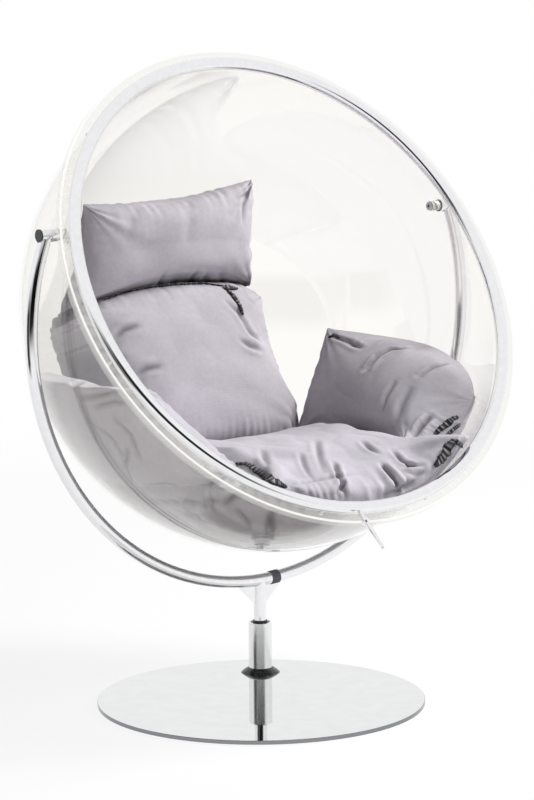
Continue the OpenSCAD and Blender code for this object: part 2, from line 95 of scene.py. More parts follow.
def sight(x, y):
    """The direction from the camera through a picture point, in pixels."""
    away = Vector(((x - FRAME_WIDE / 2) / FOCAL_PX, (FRAME_HIGH / 2 - y) / FOCAL_PX, -1))
    return (TO_WORLD @ away).normalized()


print("the middle of the picture looks along",
      tuple(round(c, 3) for c in sight(FRAME_WIDE / 2, FRAME_HIGH / 2)))

# %% [markdown]
# ## Colours and node helpers
#
# Colours are written as they look on a screen, and one function turns them to
# the linear light that shaders use. One more function adds a node with its
# settings and its links.

# %% Helpers for colours and nodes


def colour(code):
    """An sRGB hex code as linear RGBA."""
    parts = [int(code[i:i + 2], 16) / 255 for i in (1, 3, 5)]
    return tuple(p / 12.92 if p <= 0.04045 else ((p + 0.055) / 1.055) ** 2.4 for p in parts) + (1.0,)


def add(tree, kind, sockets=None, **settings):
    """Adds a node. sockets holds values, or output sockets to link from, by input name or number."""
    node = tree.nodes.new(kind)
    for name, value in settings.items():
        setattr(node, name, value)
    for key, value in (sockets or {}).items():
        if isinstance(value, bpy.types.NodeSocket):
            tree.links.new(value, node.inputs[key])
        else:
            node.inputs[key].default_value = value
    return node


def ramp(tree, fac, stops, ease="LINEAR"):
    """A colour ramp with (place, colour) stops."""
    node = add(tree, "ShaderNodeValToRGB", {"Fac": fac})
    node.color_ramp.interpolation = ease
    while len(node.color_ramp.elements) < len(stops):
        node.color_ramp.elements.new(0.5)
    for element, (place, tint) in zip(node.color_ramp.elements, stops):
        element.position = place
        element.color = tint
    return node


def finish_named(name):
    """An empty node material with its output, and the tree to fill."""
    material = bpy.data.materials.new(name)
    material.use_nodes = True
    material.node_tree.nodes.clear()
    output = add(material.node_tree, "ShaderNodeOutputMaterial")
    return material, material.node_tree, output


print("white is", colour("#FFFFFF"))

# %% [markdown]
# ## The studio
#
# The chair stands in a white studio. The world is white to the camera and to
# glass and metal. Cloth gets a softer share of it, so that the lamps can model
# its folds.

# %% World
world = bpy.data.worlds.new("white_studio")
bpy.context.scene.world = world
world.use_nodes = True
sky = world.node_tree
sky.nodes.clear()

WHITE = (1.0, 1.0, 1.0, 1.0)
SKY_FILL = 0.05
path = add(sky, "ShaderNodeLightPath")
seen = path.outputs["Is Camera Ray"]
for kind in ("Is Glossy Ray", "Is Transmission Ray"):
    seen = add(sky, "ShaderNodeMath", {0: seen, 1: path.outputs[kind]}, operation="MAXIMUM").outputs[0]
flat = add(sky, "ShaderNodeBackground", {"Color": WHITE, "Strength": 1.0})
fill = add(sky, "ShaderNodeBackground", {"Color": WHITE, "Strength": SKY_FILL})
world_mix = add(sky, "ShaderNodeMixShader", {0: seen, 1: fill.outputs[0], 2: flat.outputs[0]})
add(sky, "ShaderNodeOutputWorld", {"Surface": world_mix.outputs[0]})
print("the world gives cloth", SKY_FILL, "of the white that metal mirrors")

# %% [markdown]
# The floor is a wide white sheet that fades into the white of the world. It
# takes the chair's soft shadow by being partly lit and partly shining.

# %% Floor
FLOOR_R = 14.0
SHADOW_FROM, SHADOW_TO = 1.2, 3.5
SHINE_NEAR = 0.88
floor_mesh = bpy.data.meshes.new("studio_floor")
sheet = bmesh.new()
bmesh.ops.create_circle(sheet, cap_ends=True, radius=FLOOR_R, segments=96)
sheet.to_mesh(floor_mesh)
sheet.free()
floor = bpy.data.objects.new("studio_floor", floor_mesh)
bpy.context.collection.objects.link(floor)

paper, tree, output = finish_named("white_studio_paper")
lit = add(tree, "ShaderNodeBsdfDiffuse", {"Color": colour("#F4F4F4")})
dim = add(tree, "ShaderNodeBsdfDiffuse", {"Color": colour("#C8C8C8")})
glow = add(tree, "ShaderNodeEmission", {"Color": WHITE, "Strength": 1.0})
path = add(tree, "ShaderNodeLightPath")
shown = add(tree, "ShaderNodeMath", {0: path.outputs["Is Camera Ray"], 1: path.outputs["Is Glossy Ray"]},
            operation="MAXIMUM")
shown = add(tree, "ShaderNodeMath", {0: shown.outputs[0], 1: path.outputs["Is Transmission Ray"]},
            operation="MAXIMUM")
here = add(tree, "ShaderNodeTexCoord").outputs["Object"]
far = add(tree, "ShaderNodeVectorMath", {0: here}, operation="LENGTH")
white_out = add(tree, "ShaderNodeMapRange",
                {"Value": far.outputs["Value"], "From Min": SHADOW_FROM, "From Max": SHADOW_TO,
                 "To Min": SHINE_NEAR, "To Max": 1.0},
                interpolation_type="SMOOTHSTEP")
share = add(tree, "ShaderNodeMath", {0: shown.outputs[0], 1: white_out.outputs[0]}, operation="MULTIPLY")
bounced = add(tree, "ShaderNodeMixShader",
              {0: path.outputs["Is Diffuse Ray"], 1: lit.outputs[0], 2: dim.outputs[0]})
mix = add(tree, "ShaderNodeMixShader", {0: share.outputs[0], 1: bounced.outputs[0], 2: glow.outputs[0]})
tree.links.new(mix.outputs[0], output.inputs["Surface"])
floor_mesh.materials.append(paper)
print("floor", 2 * FLOOR_R, "m wide")

# %% [markdown]
# The cushions are lit from the right and above, so that their left sides fall
# off into grey. A weak lamp low at the left keeps the cloth that is seen
# through the dome from going dark. Their watts were found by rendering
# one lamp at a time and fitting the sum to the tones in the picture.

# %% Lamps


def soft_lamp(name, at, toward, size, watts):
    """A square area lamp at a point, turned toward another."""
    data = bpy.data.lights.new(name, "AREA")
    data.shape = "SQUARE"
    data.size = size
    data.energy = watts
    lamp = bpy.data.objects.new(name, data)
    lamp.location = at
    lamp.rotation_euler = (Vector(toward) - Vector(at)).to_track_quat("-Z", "Y").to_euler()
    bpy.context.collection.objects.link(lamp)
    lamp.visible_glossy = lamp.visible_camera = lamp.visible_transmission = False
    return lamp


SEAT = (0.0, -0.05, 0.65)
soft_lamp("high_right", (2.1, -0.5, 2.9), SEAT, 1.2, 138)
soft_lamp("front_right", (3.2, -2.6, 2.2), SEAT, 1.1, 96)
soft_lamp("high_front", (0.6, -3.2, 3.2), SEAT, 1.1, 22)
soft_lamp("low_left", (-2.6, -1.6, 0.12), SEAT, 1.1, 58)
print("four soft lamps")

# %% [markdown]
# Polished tube only shows its roundness when something dark is mirrored in
# it. In the real studio something dark stands in front of the chair and to
# its left, above the white paper. It is built here as two bent screens with
# soft edges. Only mirrors see them, so no view shows them directly.

# %% Dark screens
SCREEN_R = 2.2
SCREEN_STEPS = 49
SCREEN_FADE = math.radians(22)
dark_room, tree, output = finish_named("dark_room")
dull = add(tree, "ShaderNodeBsdfDiffuse", {"Color": colour("#0E0E10")})
clear = add(tree, "ShaderNodeBsdfTransparent")
seen_at = add(tree, "ShaderNodeUVMap", uv_map="fade").outputs[0]
fade = add(tree, "ShaderNodeSeparateXYZ", {0: seen_at})
edge_soft = add(tree, "ShaderNodeMapRange", {"Value": fade.outputs[0], "From Max": 1.0},
                interpolation_type="SMOOTHSTEP")
mix = add(tree, "ShaderNodeMixShader", {0: edge_soft.outputs[0], 1: clear.outputs[0], 2: dull.outputs[0]})
tree.links.new(mix.outputs[0], output.inputs["Surface"])


def dark_sheet(name, start, stop, rows):
    """Rows of (height, darkness) swept between two angles in degrees, faded at both ends."""
    turns = np.radians(np.linspace(start, stop, SCREEN_STEPS))
    ends = np.clip(np.minimum(turns - turns[0], turns[-1] - turns) / SCREEN_FADE, 0, 1)
    points = [(SCREEN_R * math.cos(t), SCREEN_R * math.sin(t), z) for z, _ in rows for t in turns]
    shades = [dark * end for _, dark in rows for end in ends]
    wide = len(turns)
    faces = [(i * wide + j, i * wide + j + 1, (i + 1) * wide + j + 1, (i + 1) * wide + j)
             for i in range(len(rows) - 1) for j in range(wide - 1)]
    mesh = bpy.data.meshes.new(name)
    mesh.from_pydata(points, [], faces)
    layer = mesh.uv_layers.new(name="fade")
    for loop in mesh.loops:
        layer.data[loop.index].uv = (shades[loop.vertex_index], 0)
    mesh.materials.append(dark_room)
    sheet = bpy.data.objects.new(name, mesh)
    bpy.context.collection.objects.link(sheet)
    sheet.visible_camera = sheet.visible_diffuse = sheet.visible_transmission = False
    sheet.visible_shadow = sheet.visible_volume_scatter = False


dark_sheet("dark_front", -175, -72, [(0.3, 0), (0.62, 0.92), (0.9, 1), (1.2, 0.92), (1.75, 0)])
dark_sheet("dark_left", -208, -150, [(0.02, 0), (0.25, 0.92), (0.8, 0.92), (1.3, 0)])
print("two dark screens")

# %% [markdown]
# ## Finishes of the hard pieces
#
# Chromed steel mirrors the room. Its plating is so smooth that only a faint
# haze of polishing and handling breaks it. The base plate is stainless steel,
# polished to a mirror on top, with its edge left as it was turned. The post's
# sleeve is finely brushed, which softens what it mirrors. Screws are duller
# still. Each finish reads Object coordinates, so its pattern stays on the
# piece when the chair moves.

# %% Metal finishes
SWELL_MM = 90
DUSTY = 0.94


def steel(name, tint, smooth, hazy, haze_mm, ripple):
    """Plated or plain steel: roughness wanders between smooth and hazy."""
    material, tree, output = finish_named(name)
    place = add(tree, "ShaderNodeTexCoord").outputs["Object"]
    haze = add(tree, "ShaderNodeTexNoise", {"Vector": place, "Scale": 1000 / haze_mm, "Detail": 4.0})
    rough = add(tree, "ShaderNodeMapRange",
                {"Value": haze.outputs[0], "From Min": 0.35, "From Max": 0.7,
                 "To Min": smooth, "To Max": hazy})
    swell = add(tree, "ShaderNodeTexNoise", {"Vector": place, "Scale": 1000 / SWELL_MM, "Detail": 2.0})
    bump = add(tree, "ShaderNodeBump", {"Height": swell.outputs[0], "Strength": 1.0, "Distance": ripple})
    dusted = tuple(c * DUSTY for c in colour(tint)[:3]) + (1,)
    dust = ramp(tree, haze.outputs[0], [(0.3, colour(tint)), (0.75, dusted)])
    metal = add(tree, "ShaderNodeBsdfPrincipled",
                {"Base Color": dust.outputs[0], "Metallic": 1.0, "Roughness": rough.outputs[0],
                 "Normal": bump.outputs[0]})
    tree.links.new(metal.outputs[0], output.inputs["Surface"])
    return material


CHROME = steel("chromed_steel", "#EFEFF1", 0.02, 0.05, 12, 0.00003)
MIRROR = steel("mirror_polished_steel", "#E6E8E7", 0.02, 0.05, 30, 0.00002)
SATIN = steel("satin_steel", "#B9BABC", 0.22, 0.34, 3, 0.00003)
BRIGHT = steel("bright_turned_steel", "#F2F2F2", 0.35, 0.45, 2, 0.00003)
BRUSHED = steel("fine_brushed_steel", "#EDEDEE", 0.16, 0.24, 3, 0.00002)
TURNED = steel("turned_plate_edge", "#8E8F93", 0.12, 0.24, 2, 0.00003)
print("steel finishes:", *(metal.name for metal in (CHROME, MIRROR, SATIN, BRIGHT, BRUSHED, TURNED)))

# %% [markdown]
# The black and pale plastics are moulded and carry a fine spark texture of
# about half a millimetre. The collar is a polished cover, with hardly any.
# Rubber is duller and greyer with dust.

# %% Plastic and rubber finishes
WEAR_MM = 25


def moulded(name, tint, worn, low, high, grain_mm, depth):
    """A moulded plastic or rubber: fine grain, with a worn tint in places."""
    material, tree, output = finish_named(name)
    place = add(tree, "ShaderNodeTexCoord").outputs["Object"]
    grain = add(tree, "ShaderNodeTexNoise", {"Vector": place, "Scale": 1000 / grain_mm, "Detail": 3.0})
    cloud = add(tree, "ShaderNodeTexNoise", {"Vector": place, "Scale": 1000 / WEAR_MM, "Detail": 3.0})
    tone = ramp(tree, cloud.outputs[0], [(0.35, colour(tint)), (0.75, colour(worn))])
    rough = add(tree, "ShaderNodeMapRange",
                {"Value": cloud.outputs[0], "From Min": 0.3, "From Max": 0.7, "To Min": low, "To Max": high})
    bump = add(tree, "ShaderNodeBump", {"Height": grain.outputs[0], "Strength": 0.6, "Distance": depth})
    body = add(tree, "ShaderNodeBsdfPrincipled",
               {"Base Color": tone.outputs[0], "Roughness": rough.outputs[0], "Normal": bump.outputs[0]})
    tree.links.new(body.outputs[0], output.inputs["Surface"])
    return material


BLACK = moulded("black_moulded_nylon", "#232425", "#35363A", 0.28, 0.42, 0.4, 0.00005)
COLLAR = moulded("black_polished_cover", "#1B1C1C", "#2A2B2B", 0.10, 0.20, 0.8, 0.00002)
PALE = moulded("natural_nylon", "#D9D9D2", "#C8C8C0", 0.40, 0.55, 0.5, 0.00005)
RUBBER = moulded("grey_rubber", "#55565A", "#626367", 0.60, 0.75, 0.6, 0.00008)
print("moulded finishes:", BLACK.name, COLLAR.name, PALE.name, RUBBER.name)

# %% [markdown]
# The dome is blown acrylic, 5 mm thick. Such a thin wall hardly bends what is
# seen through it, so it is made as a clear film with a mirror on it that
# grows towards the edge, where the eye meets the wall at a slant. That is
# the pale band round the dome, and it keeps the light on the cushions free of
# noise. Fine wipe marks roughen the mirror a little.

# %% Acrylic
PASSED = (0.991, 0.986, 0.972, 1)
MIRRORED_FACE_ON, MIRRORED_EDGE_ON, MIRROR_POWER = 0.045, 0.9, 3.2
WIPE_MM = 60
ACRYLIC, tree, output = finish_named("blown_acrylic")
place = add(tree, "ShaderNodeTexCoord").outputs["Object"]
wipe = add(tree, "ShaderNodeTexNoise",
           {"Vector": place, "Scale": 1000 / WIPE_MM, "Detail": 5.0, "Distortion": 1.5})
rough = add(tree, "ShaderNodeMapRange",
            {"Value": wipe.outputs[0], "From Min": 0.4, "From Max": 0.75, "To Min": 0.02, "To Max": 0.08})
clear = add(tree, "ShaderNodeBsdfTransparent", {"Color": PASSED})
shine = add(tree, "ShaderNodeBsdfGlossy", {"Color": WHITE, "Roughness": rough.outputs[0]})
# a Fresnel node would take the wall's inner face for the inside of a block, so
# the share that is mirrored grows with a power of the slant of the face
slant = add(tree, "ShaderNodeLayerWeight", {"Blend": 0.5}).outputs["Facing"]
steep = add(tree, "ShaderNodeMath", {0: slant, 1: MIRROR_POWER}, operation="POWER")
edge = add(tree, "ShaderNodeMapRange",
           {"Value": steep.outputs[0], "To Min": MIRRORED_FACE_ON, "To Max": MIRRORED_EDGE_ON})
film = add(tree, "ShaderNodeMixShader", {0: edge.outputs[0], 1: clear.outputs[0], 2: shine.outputs[0]})
tree.links.new(film.outputs[0], output.inputs["Surface"])
print("acrylic lets", PASSED[0], "of the red light through each surface")

# %% [markdown]
# The dome ends in a flat rim outside the ring. Light that runs along inside
# the acrylic comes out at its cut edge; here that is a painted glow, so the
# lip is a thin white line whatever the lamps do. The rim has a weaker
# painted glow too, and looks milky.

# %% Rim and lip


def acrylic_with_painted_glow(name, passed, glow):
    """Acrylic seen along its sheet: it passes a share of what is behind and adds a painted glow."""
    material, tree, output = finish_named(name)
    place = add(tree, "ShaderNodeTexCoord").outputs["Object"]
    marks = add(tree, "ShaderNodeTexNoise", {"Vector": place, "Scale": 1000 / WIPE_MM, "Detail": 2.0})
    amount = add(tree, "ShaderNodeMapRange",
                 {"Value": marks.outputs[0], "From Min": 0.3, "From Max": 0.7,
                  "To Min": glow * 0.98, "To Max": glow * 1.02})
    clear = add(tree, "ShaderNodeBsdfTransparent", {"Color": (passed, passed, passed * 0.99, 1)})
    # painted glow: an emission that stands in for light coming out of the acrylic
    painted_edge_glow = add(tree, "ShaderNodeEmission", {"Color": (1.0, 0.995, 0.98, 1), "Strength": amount.outputs[0]})
    film = add(tree, "ShaderNodeAddShader", {0: clear.outputs[0], 1: painted_edge_glow.outputs[0]})
    tree.links.new(film.outputs[0], output.inputs["Surface"])
    return material


RIM = acrylic_with_painted_glow("acrylic_rim_painted_glow", 0.79, 0.165)
LIP = acrylic_with_painted_glow("acrylic_cut_edge_painted_glow", 0.10, 0.90)
print("rim and lip:", RIM.name, LIP.name)

# %% [markdown]
# Each CAD piece takes its finish by its slot in the record, and a few pieces
# take one of their own: the plate is a mirror, the sleeve is brushed, and the
# collar is glossier than the other black pieces.

# %% Dress the CAD pieces
BY_SLOT = {"polished_steel": CHROME, "plain_steel": SATIN, "clear_acrylic": ACRYLIC,
           "black_plastic": BLACK, "pale_plastic": PALE, "rubber": RUBBER}
OWN = {"base_plate": MIRROR, "collar": COLLAR, "ring_screws": BRIGHT, "inner_bush_left": BLACK,
       "inner_bush_right": BLACK, "post_sleeve": BRUSHED}
CUSHIONS = ["head_pillow", "back_cushion", "seat_cushion", "arm_cushion_left", "arm_cushion_right"]
SLOT_OF = {part["node"]: part["material_slot"] for part in frame["record"]["subparts"]}
for name, piece in frame["nodes"].items():
    if name in CUSHIONS:
        continue
    finish = OWN.get(name) or BY_SLOT[SLOT_OF[name]]
    piece.data.materials.clear()
    piece.data.materials.append(finish)
print("dressed", len(frame["nodes"]) - len(CUSHIONS), "hard pieces")

# %% [markdown]
# The rim and the lip are faces of the dome's own mesh, so they are picked by
# place: how far each face lies from the axis of the mouth, and how far in
# front of the rim's plane. Only their material slot changes.

# %% Give the dome's rim and lip their own slots
MOUTH = np.array((0, -0.12910, 0.83164))
MOUTH_OUT = np.array((0, -0.84805, 0.52992))
RIM_FROM, RIM_DEPTH = 0.500, 0.022
LIP_FROM, LIP_DEPTH = 0.519, -0.0015
dome = frame["nodes"]["dome"].data
dome.materials.append(RIM)
dome.materials.append(LIP)
counts = [0, 0, 0]
for face in dome.polygons:
    away = np.array(face.center) - MOUTH
    depth = away @ MOUTH_OUT
    wide = np.linalg.norm(away - depth * MOUTH_OUT)
    if wide < RIM_FROM or abs(depth) > RIM_DEPTH:
        continue
    face.material_index = 2 if wide > LIP_FROM and depth > LIP_DEPTH else 1
    counts[face.material_index] += 1
print("dome faces: wall", counts[0], "rim", counts[1], "lip", counts[2])

# %% [markdown]
# The plate's rounded edge was turned on a lathe and not polished, so it is
# darker than the top. Every face that isn't level belongs to it.

# %% Give the plate's edge its own slot
LEVEL = 0.999
plate = frame["nodes"]["base_plate"].data
plate.materials.append(TURNED)
edge_faces = [face for face in plate.polygons if abs(face.normal.z) < LEVEL]
for face in edge_faces:
    face.material_index = 1
print("turned edge faces:", len(edge_faces))

# %% [markdown]
# ## The cushions
#
# A cushion is a cover of two panels sewn along one seam and stuffed. Each one
# here starts as two grids of patches that share their edge, bent to lie on
# the dome. The cover is cut a little larger than its filling, then blown
# up with Blender's cloth, so that the spare cloth makes its own folds.
#
# The dome's inner wall is a ball, and the cushions meet each other at planes.
# Both are kept here as rules for points: one pulls points into the ball, the
# others hold them on their own side of a plane.

# %% Rules that the cushions share
BALL = np.array((0.0, -0.03497, 0.77282))
BALL_IN = 0.493
GAP = 0.0006
OFF_WALL = 0.0012
FRONT_OFF, SEAM_OFF = 0.016, 0.008
CROWN_POWER = 0.375
SIDE_DRAW = 0.05


def crown(u, v):
    """Fullness of a stuffed cover: 1 in its middle, 0 at its seam."""
    return np.clip((1 - u * u) * (1 - v * v), 0, None) ** CROWN_POWER


def across(u, v, draw):
    """A cover's sides are drawn in between its corners."""
    return u * (1 - draw * (1 - v * v) * u * u)


def in_ball(p, depth=OFF_WALL):
    """Pulls points to at least depth inside the dome's wall."""
    away = p - BALL
    far = np.linalg.norm(away, axis=1, keepdims=True)
    room = BALL_IN - np.asarray(depth).reshape(-1, 1)
    return np.where(far > room, BALL + away * room / np.maximum(far, 1e-9), p)


def behind(p, at, n):
    """Keeps points behind a plane through at with normal n."""
    over = np.clip((p - np.array(at)) @ np.array(n), 0, None)
    return p - over[:, None] * np.array(n)


def unit(v):
    """The same direction, of length 1."""
    return np.array(v) / np.linalg.norm(v)


SEAT_AT, SEAT_UP = BALL + BALL_IN * np.array((0, 0.3752, -0.6751)), unit((0, 0.5, 0.866))
HEAD_AT, HEAD_UP = BALL + BALL_IN * np.array((0, 0.7606, -0.0138)), unit((0, 0.5, 0.866))
ARM_AT, ARM_UP = BALL + BALL_IN * np.array((0.7201, 0.0709, -0.7197)), unit((0.47, 0, 0.883))
SIDE_TURN = math.radians(42)
FLIP = np.array((-1.0, 1.0, 1.0))


def above(p, at, n):
    """Keeps points on the side of a plane that its normal points to."""
    return behind(p, at + n * GAP, -n)


def below(p, at, n):
    """Keeps points on the other side of a plane."""
    return behind(p, at - n * GAP, n)


def side_normal(side):
    """The plane between the back cushion and an arm cushion."""
    return np.array((side * math.sin(SIDE_TURN), -math.cos(SIDE_TURN), 0))


def rest_depth(side):
    """How far a cover's front, seam and rear stay from the dome's wall."""
    return np.where(side > 0, FRONT_OFF, np.where(side < 0, OFF_WALL, SEAM_OFF))


print("the seat meets the back at", SEAT_AT.round(3))

# %% [markdown]
# Each cushion gets its own rule from those planes. The pillow lies above the
# back cushion, which lies above the seat. The arm cushions lie above the seat
# too, beside the back cushion and behind the ring.

# %% Where each cushion may be
BEHIND_RING = 0.018


def keep_head(p, depth=OFF_WALL):
    """The pillow's own space."""
    return in_ball(above(p, HEAD_AT, HEAD_UP), depth)


def keep_back(p, depth=OFF_WALL):
    """The back cushion's own space."""
    p = below(below(p, BALL, side_normal(1)), BALL, side_normal(-1))
    return in_ball(above(below(p, HEAD_AT, HEAD_UP), SEAT_AT, SEAT_UP), depth)


def keep_seat(p, depth=OFF_WALL):
    """The seat cushion's own space."""
    p = below(below(p, SEAT_AT, SEAT_UP), ARM_AT, ARM_UP)
    return in_ball(below(p, ARM_AT * FLIP, ARM_UP * FLIP), depth)


def keep_arm(p, depth=OFF_WALL):
    """The right arm cushion's own space."""
    p = below(above(p, ARM_AT, ARM_UP), MOUTH - MOUTH_OUT * BEHIND_RING, MOUTH_OUT)
    return in_ball(above(p, BALL, side_normal(1)), depth)


def keep_arm_left(p, depth=OFF_WALL):
    """The left arm cushion's own space, a mirror of the right one's."""
    return keep_arm(p * FLIP, depth) * FLIP


print("five rules keep the cushions apart and inside the dome")

# %% [markdown]
# A panel is a function of u and v, which run from -1 to 1 across the sewn
# cover, and of side: 1 for the front panel, -1 for the rear one and 0 on the
# seam. Each function bends the same square into one cushion, with the sizes
# that the CAD solid has.
#
# The pillow is a flat rectangle that stands on the back cushion. The wall
# behind it curves forward, so its top leans forward too, less at its right
# end. It isn't quite level either.

# %% The pillow's panels
PILLOW_WIDE, PILLOW_HIGH, PILLOW_HALF = 0.452, 0.246, 0.060
PILLOW_AT = BALL + BALL_IN * np.array((0.0162, 0.7444, 0.1728))
PILLOW_ROLL, PILLOW_LEAN, PILLOW_TWIST = math.radians(2.6), -9, 8
PILLOW_DRAW = 0.16


def head_panel(u, v, side):
    """A flat pillow, rolled a little and twisted from its left to its right end."""
    lean = np.radians(PILLOW_LEAN + PILLOW_TWIST * u)
    zero = np.zeros_like(u)
    x = np.array((math.cos(PILLOW_ROLL), 0, math.sin(PILLOW_ROLL)))
    up = np.stack([zero, np.sin(lean), np.cos(lean)], 1)
    out = np.stack([zero, -np.cos(lean), np.sin(lean)], 1)
    thick = crown(u, v) * np.where(side > 0, PILLOW_HALF, np.where(side < 0, -PILLOW_HALF, 0))
    p = (PILLOW_AT + x * (across(u, v, SIDE_DRAW) * PILLOW_WIDE / 2)[:, None]
         + up * (across(v, u, PILLOW_DRAW) * PILLOW_HIGH / 2)[:, None] + out * thick[:, None])
    return keep_head(p, rest_depth(side))


print("pillow", PILLOW_WIDE, "by", PILLOW_HIGH, "m")

# %% [markdown]
# The back cushion follows the dome's wall, so its seam lies on a circle round
# the dome's middle. Its upper corners droop, as nothing holds them up.

# %% The back cushion's panels
BACK_HALF_WIDE, BACK_LONG = 0.256, 0.440
BACK_SEAM_R = 0.7546 * BALL_IN
BACK_TURN, BACK_SHOULDER, BACK_DRAW = -31, 8, 0.04
BACK_FRONT, BACK_REAR = 0.111, 0.150


def back_panel(u, v, side):
    """A cushion bent round the dome's middle, with drooping upper corners."""
    half = math.degrees(BACK_LONG / BACK_SEAM_R / 2)
    droop = BACK_SHOULDER * u ** 4 * np.clip(v, 0, None)
    a = np.radians(BACK_TURN + across(v, u, BACK_DRAW) * half - droop)
    r = BACK_SEAM_R - crown(u, v) * np.where(side > 0, BACK_FRONT, np.where(side < 0, -BACK_REAR, 0))
    p = BALL + np.stack([across(u, v, SIDE_DRAW) * BACK_HALF_WIDE, r * np.cos(a), r * np.sin(a)], 1)
    return keep_back(p, rest_depth(side))


print("back cushion", 2 * BACK_HALF_WIDE, "by", BACK_LONG, "m")

# %% [markdown]
# The seat cushion is the largest and the fullest. It fills the bottom of the
# dome, and its left and right sides ride up on the wall.

# %% The seat cushion's panels
SEAT_HALF_WIDE, SEAT_HALF_LONG = 0.300, 0.280
SEAT_MIDDLE = BALL + BALL_IN * np.array((0, -0.1319, -0.74))
SEAT_CURL = 0.070
SEAT_OVER, SEAT_UNDER = 0.085, 0.170


def seat_panel(u, v, side):
    """A cushion that lies in the bottom of the dome, with its sides curled up."""
    thick = np.where(side > 0, SEAT_OVER, np.where(side < 0, -SEAT_UNDER, 0))
    rise = SEAT_CURL * u * u + crown(u, v) * thick
    p = SEAT_MIDDLE + np.stack([across(u, v, SIDE_DRAW) * SEAT_HALF_WIDE,
                                across(v, u, SIDE_DRAW) * SEAT_HALF_LONG, rise], 1)
    return keep_seat(p, rest_depth(side))


print("seat cushion", 2 * SEAT_HALF_WIDE, "by", 2 * SEAT_HALF_LONG, "m")

# %% [markdown]
# An arm cushion stands on the seat cushion's side and follows the wall from
# the back cushion to the ring. Its top seam lies near the wall and its bottom
# seam further in. The two cushions are alike, but the right one droops at its
# front end and the left one at its rear end.

# %% The arm cushions' panels
ARM_REAR, ARM_SPAN = 37, 60
ARM_REAR_FLARE, ARM_FRONT_FLARE = 4, 18
ARM_TOP = -12.5
ARM_SEAM_TOP, ARM_SEAM_GROWS, ARM_FULL = 0.008, 0.060, 0.150
ARM_ROUND, ARM_DRAW, ARM_END_DRAW = 0.2, 0.1, -0.02
ARM_OFF = 0.0005
SLUMP_LEFT, LEFT_UP_TO, LEFT_POWER = 2.5, 0.2, 1.5
SLUMP_RIGHT, RIGHT_FROM, RIGHT_POWER = 4.8, -0.5, 2.5


def sink_right(u):
    """How far the right cushion's front end droops, in degrees."""
    return SLUMP_RIGHT * np.clip(u - RIGHT_FROM, 0, None) ** RIGHT_POWER


def sink_left(u):
    """How far the left cushion's rear end droops, in degrees."""
    return SLUMP_LEFT * np.clip(LEFT_UP_TO - u, 0, None) ** LEFT_POWER


def arm_panel(u, v, side, droop):
    """A cushion bent round the dome's side; angles in degrees, front end at u = 1."""
    low, full = (1 - across(v, u, ARM_DRAW)) / 2, crown(u, v)
    rear, front = ARM_REAR + ARM_REAR_FLARE * low, ARM_REAR - ARM_SPAN - ARM_FRONT_FLARE * low
    a = np.radians(rear + (front - rear) * (1 + across(u, v, ARM_END_DRAW)) / 2)
    seam = ARM_SEAM_TOP + ARM_SEAM_GROWS * (1 - v) / 2
    depth = np.where(side > 0, seam + full * (ARM_FULL * (1 - ARM_ROUND * v * v) - seam),
                     seam * (1 - np.clip(-side, 0, None) * full))
    top = BALL[2] + BALL_IN * np.sin(np.radians(ARM_TOP - droop))
    r = np.sqrt((BALL_IN - ARM_OFF) ** 2 - (top + (ARM_AT[2] - top) * low - BALL[2]) ** 2) - depth
    foot = ARM_AT[2] + ARM_OFF / ARM_UP[2] + (ARM_AT[0] - r * np.cos(a)) * ARM_UP[0] / ARM_UP[2]
    p = BALL + np.stack([r * np.cos(a), r * np.sin(a), top + (foot - top) * low - BALL[2]], 1)
    return keep_arm(p)


PANELS = {
    "head_pillow": (head_panel, keep_head),
    "back_cushion": (back_panel, keep_back),
    "seat_cushion": (seat_panel, keep_seat),
    "arm_cushion_left": (lambda u, v, s: arm_panel(u, v, s, sink_left(u)) * FLIP, keep_arm_left),
    "arm_cushion_right": (lambda u, v, s: arm_panel(u, v, s, sink_right(u)), keep_arm),
}
print("panels for", ", ".join(PANELS))

# %% [markdown]
# The two panels are grids of small patches. The points on the border belong
# to both grids, and that shared border is the sewn seam. The patches get
# narrower towards it, because the cover bends most there.

# %% Sew two panels into a cover
CELLS = 48
EVEN_SHARE = 0.62
SEAM_CRISP = 0.6


def sew(panel):
    """Points, faces, and each point's (u, v, side) of a cover."""
    steps = np.linspace(-1, 1, CELLS + 1)
    steps = EVEN_SHARE * steps + (1 - EVEN_SHARE) * np.sin(steps * math.pi / 2)
    index = {}
    rows = []
    for side in (1, -1):
        for i in range(CELLS + 1):
            for j in range(CELLS + 1):
                seam = i in (0, CELLS) or j in (0, CELLS)
                key = (i, j, 0 if seam else side)
                if key not in index:
                    index[key] = len(rows)
                    rows.append((steps[i], steps[j], key[2]))
    rows = np.array(rows, dtype=float)
    points = panel(rows[:, 0], rows[:, 1], rows[:, 2])
    faces = []
    for side in (1, -1):
        def at(i, j):
            seam = i in (0, CELLS) or j in (0, CELLS)
            return index[(i, j, 0 if seam else side)]
        for i in range(CELLS):
            for j in range(CELLS):
                quad = [at(i, j), at(i + 1, j), at(i + 1, j + 1), at(i, j + 1)]
                faces.append(quad if side > 0 else quad[::-1])
    return points, faces, rows


def new_piece(name, points, faces, on_seam=None):
    """A smooth closed piece whose faces point outwards."""
    mesh = bpy.data.meshes.new(name)
    mesh.from_pydata([tuple(p) for p in points], [], faces)
    mesh.validate()
    piece = bpy.data.objects.new(name, mesh)
    bpy.context.collection.objects.link(piece)
    work = bmesh.new()
    work.from_mesh(mesh)
    bmesh.ops.recalc_face_normals(work, faces=work.faces)
    # a cover can come out inside out, and then its volume is negative
    if work.calc_volume(signed=True) < 0:
        bmesh.ops.reverse_faces(work, faces=work.faces)
    if on_seam is not None:
        # the sewn edge stays a crisp ridge when the cover is smoothed
        work.verts.ensure_lookup_table()
        crisp = work.edges.layers.float.new("crease_edge")
        for edge in work.edges:
            if all(on_seam[vert.index] for vert in edge.verts):
                edge[crisp] = SEAM_CRISP
    work.to_mesh(mesh)
    work.free()
    mesh.polygons.foreach_set("use_smooth", [True] * len(mesh.polygons))
    return piece


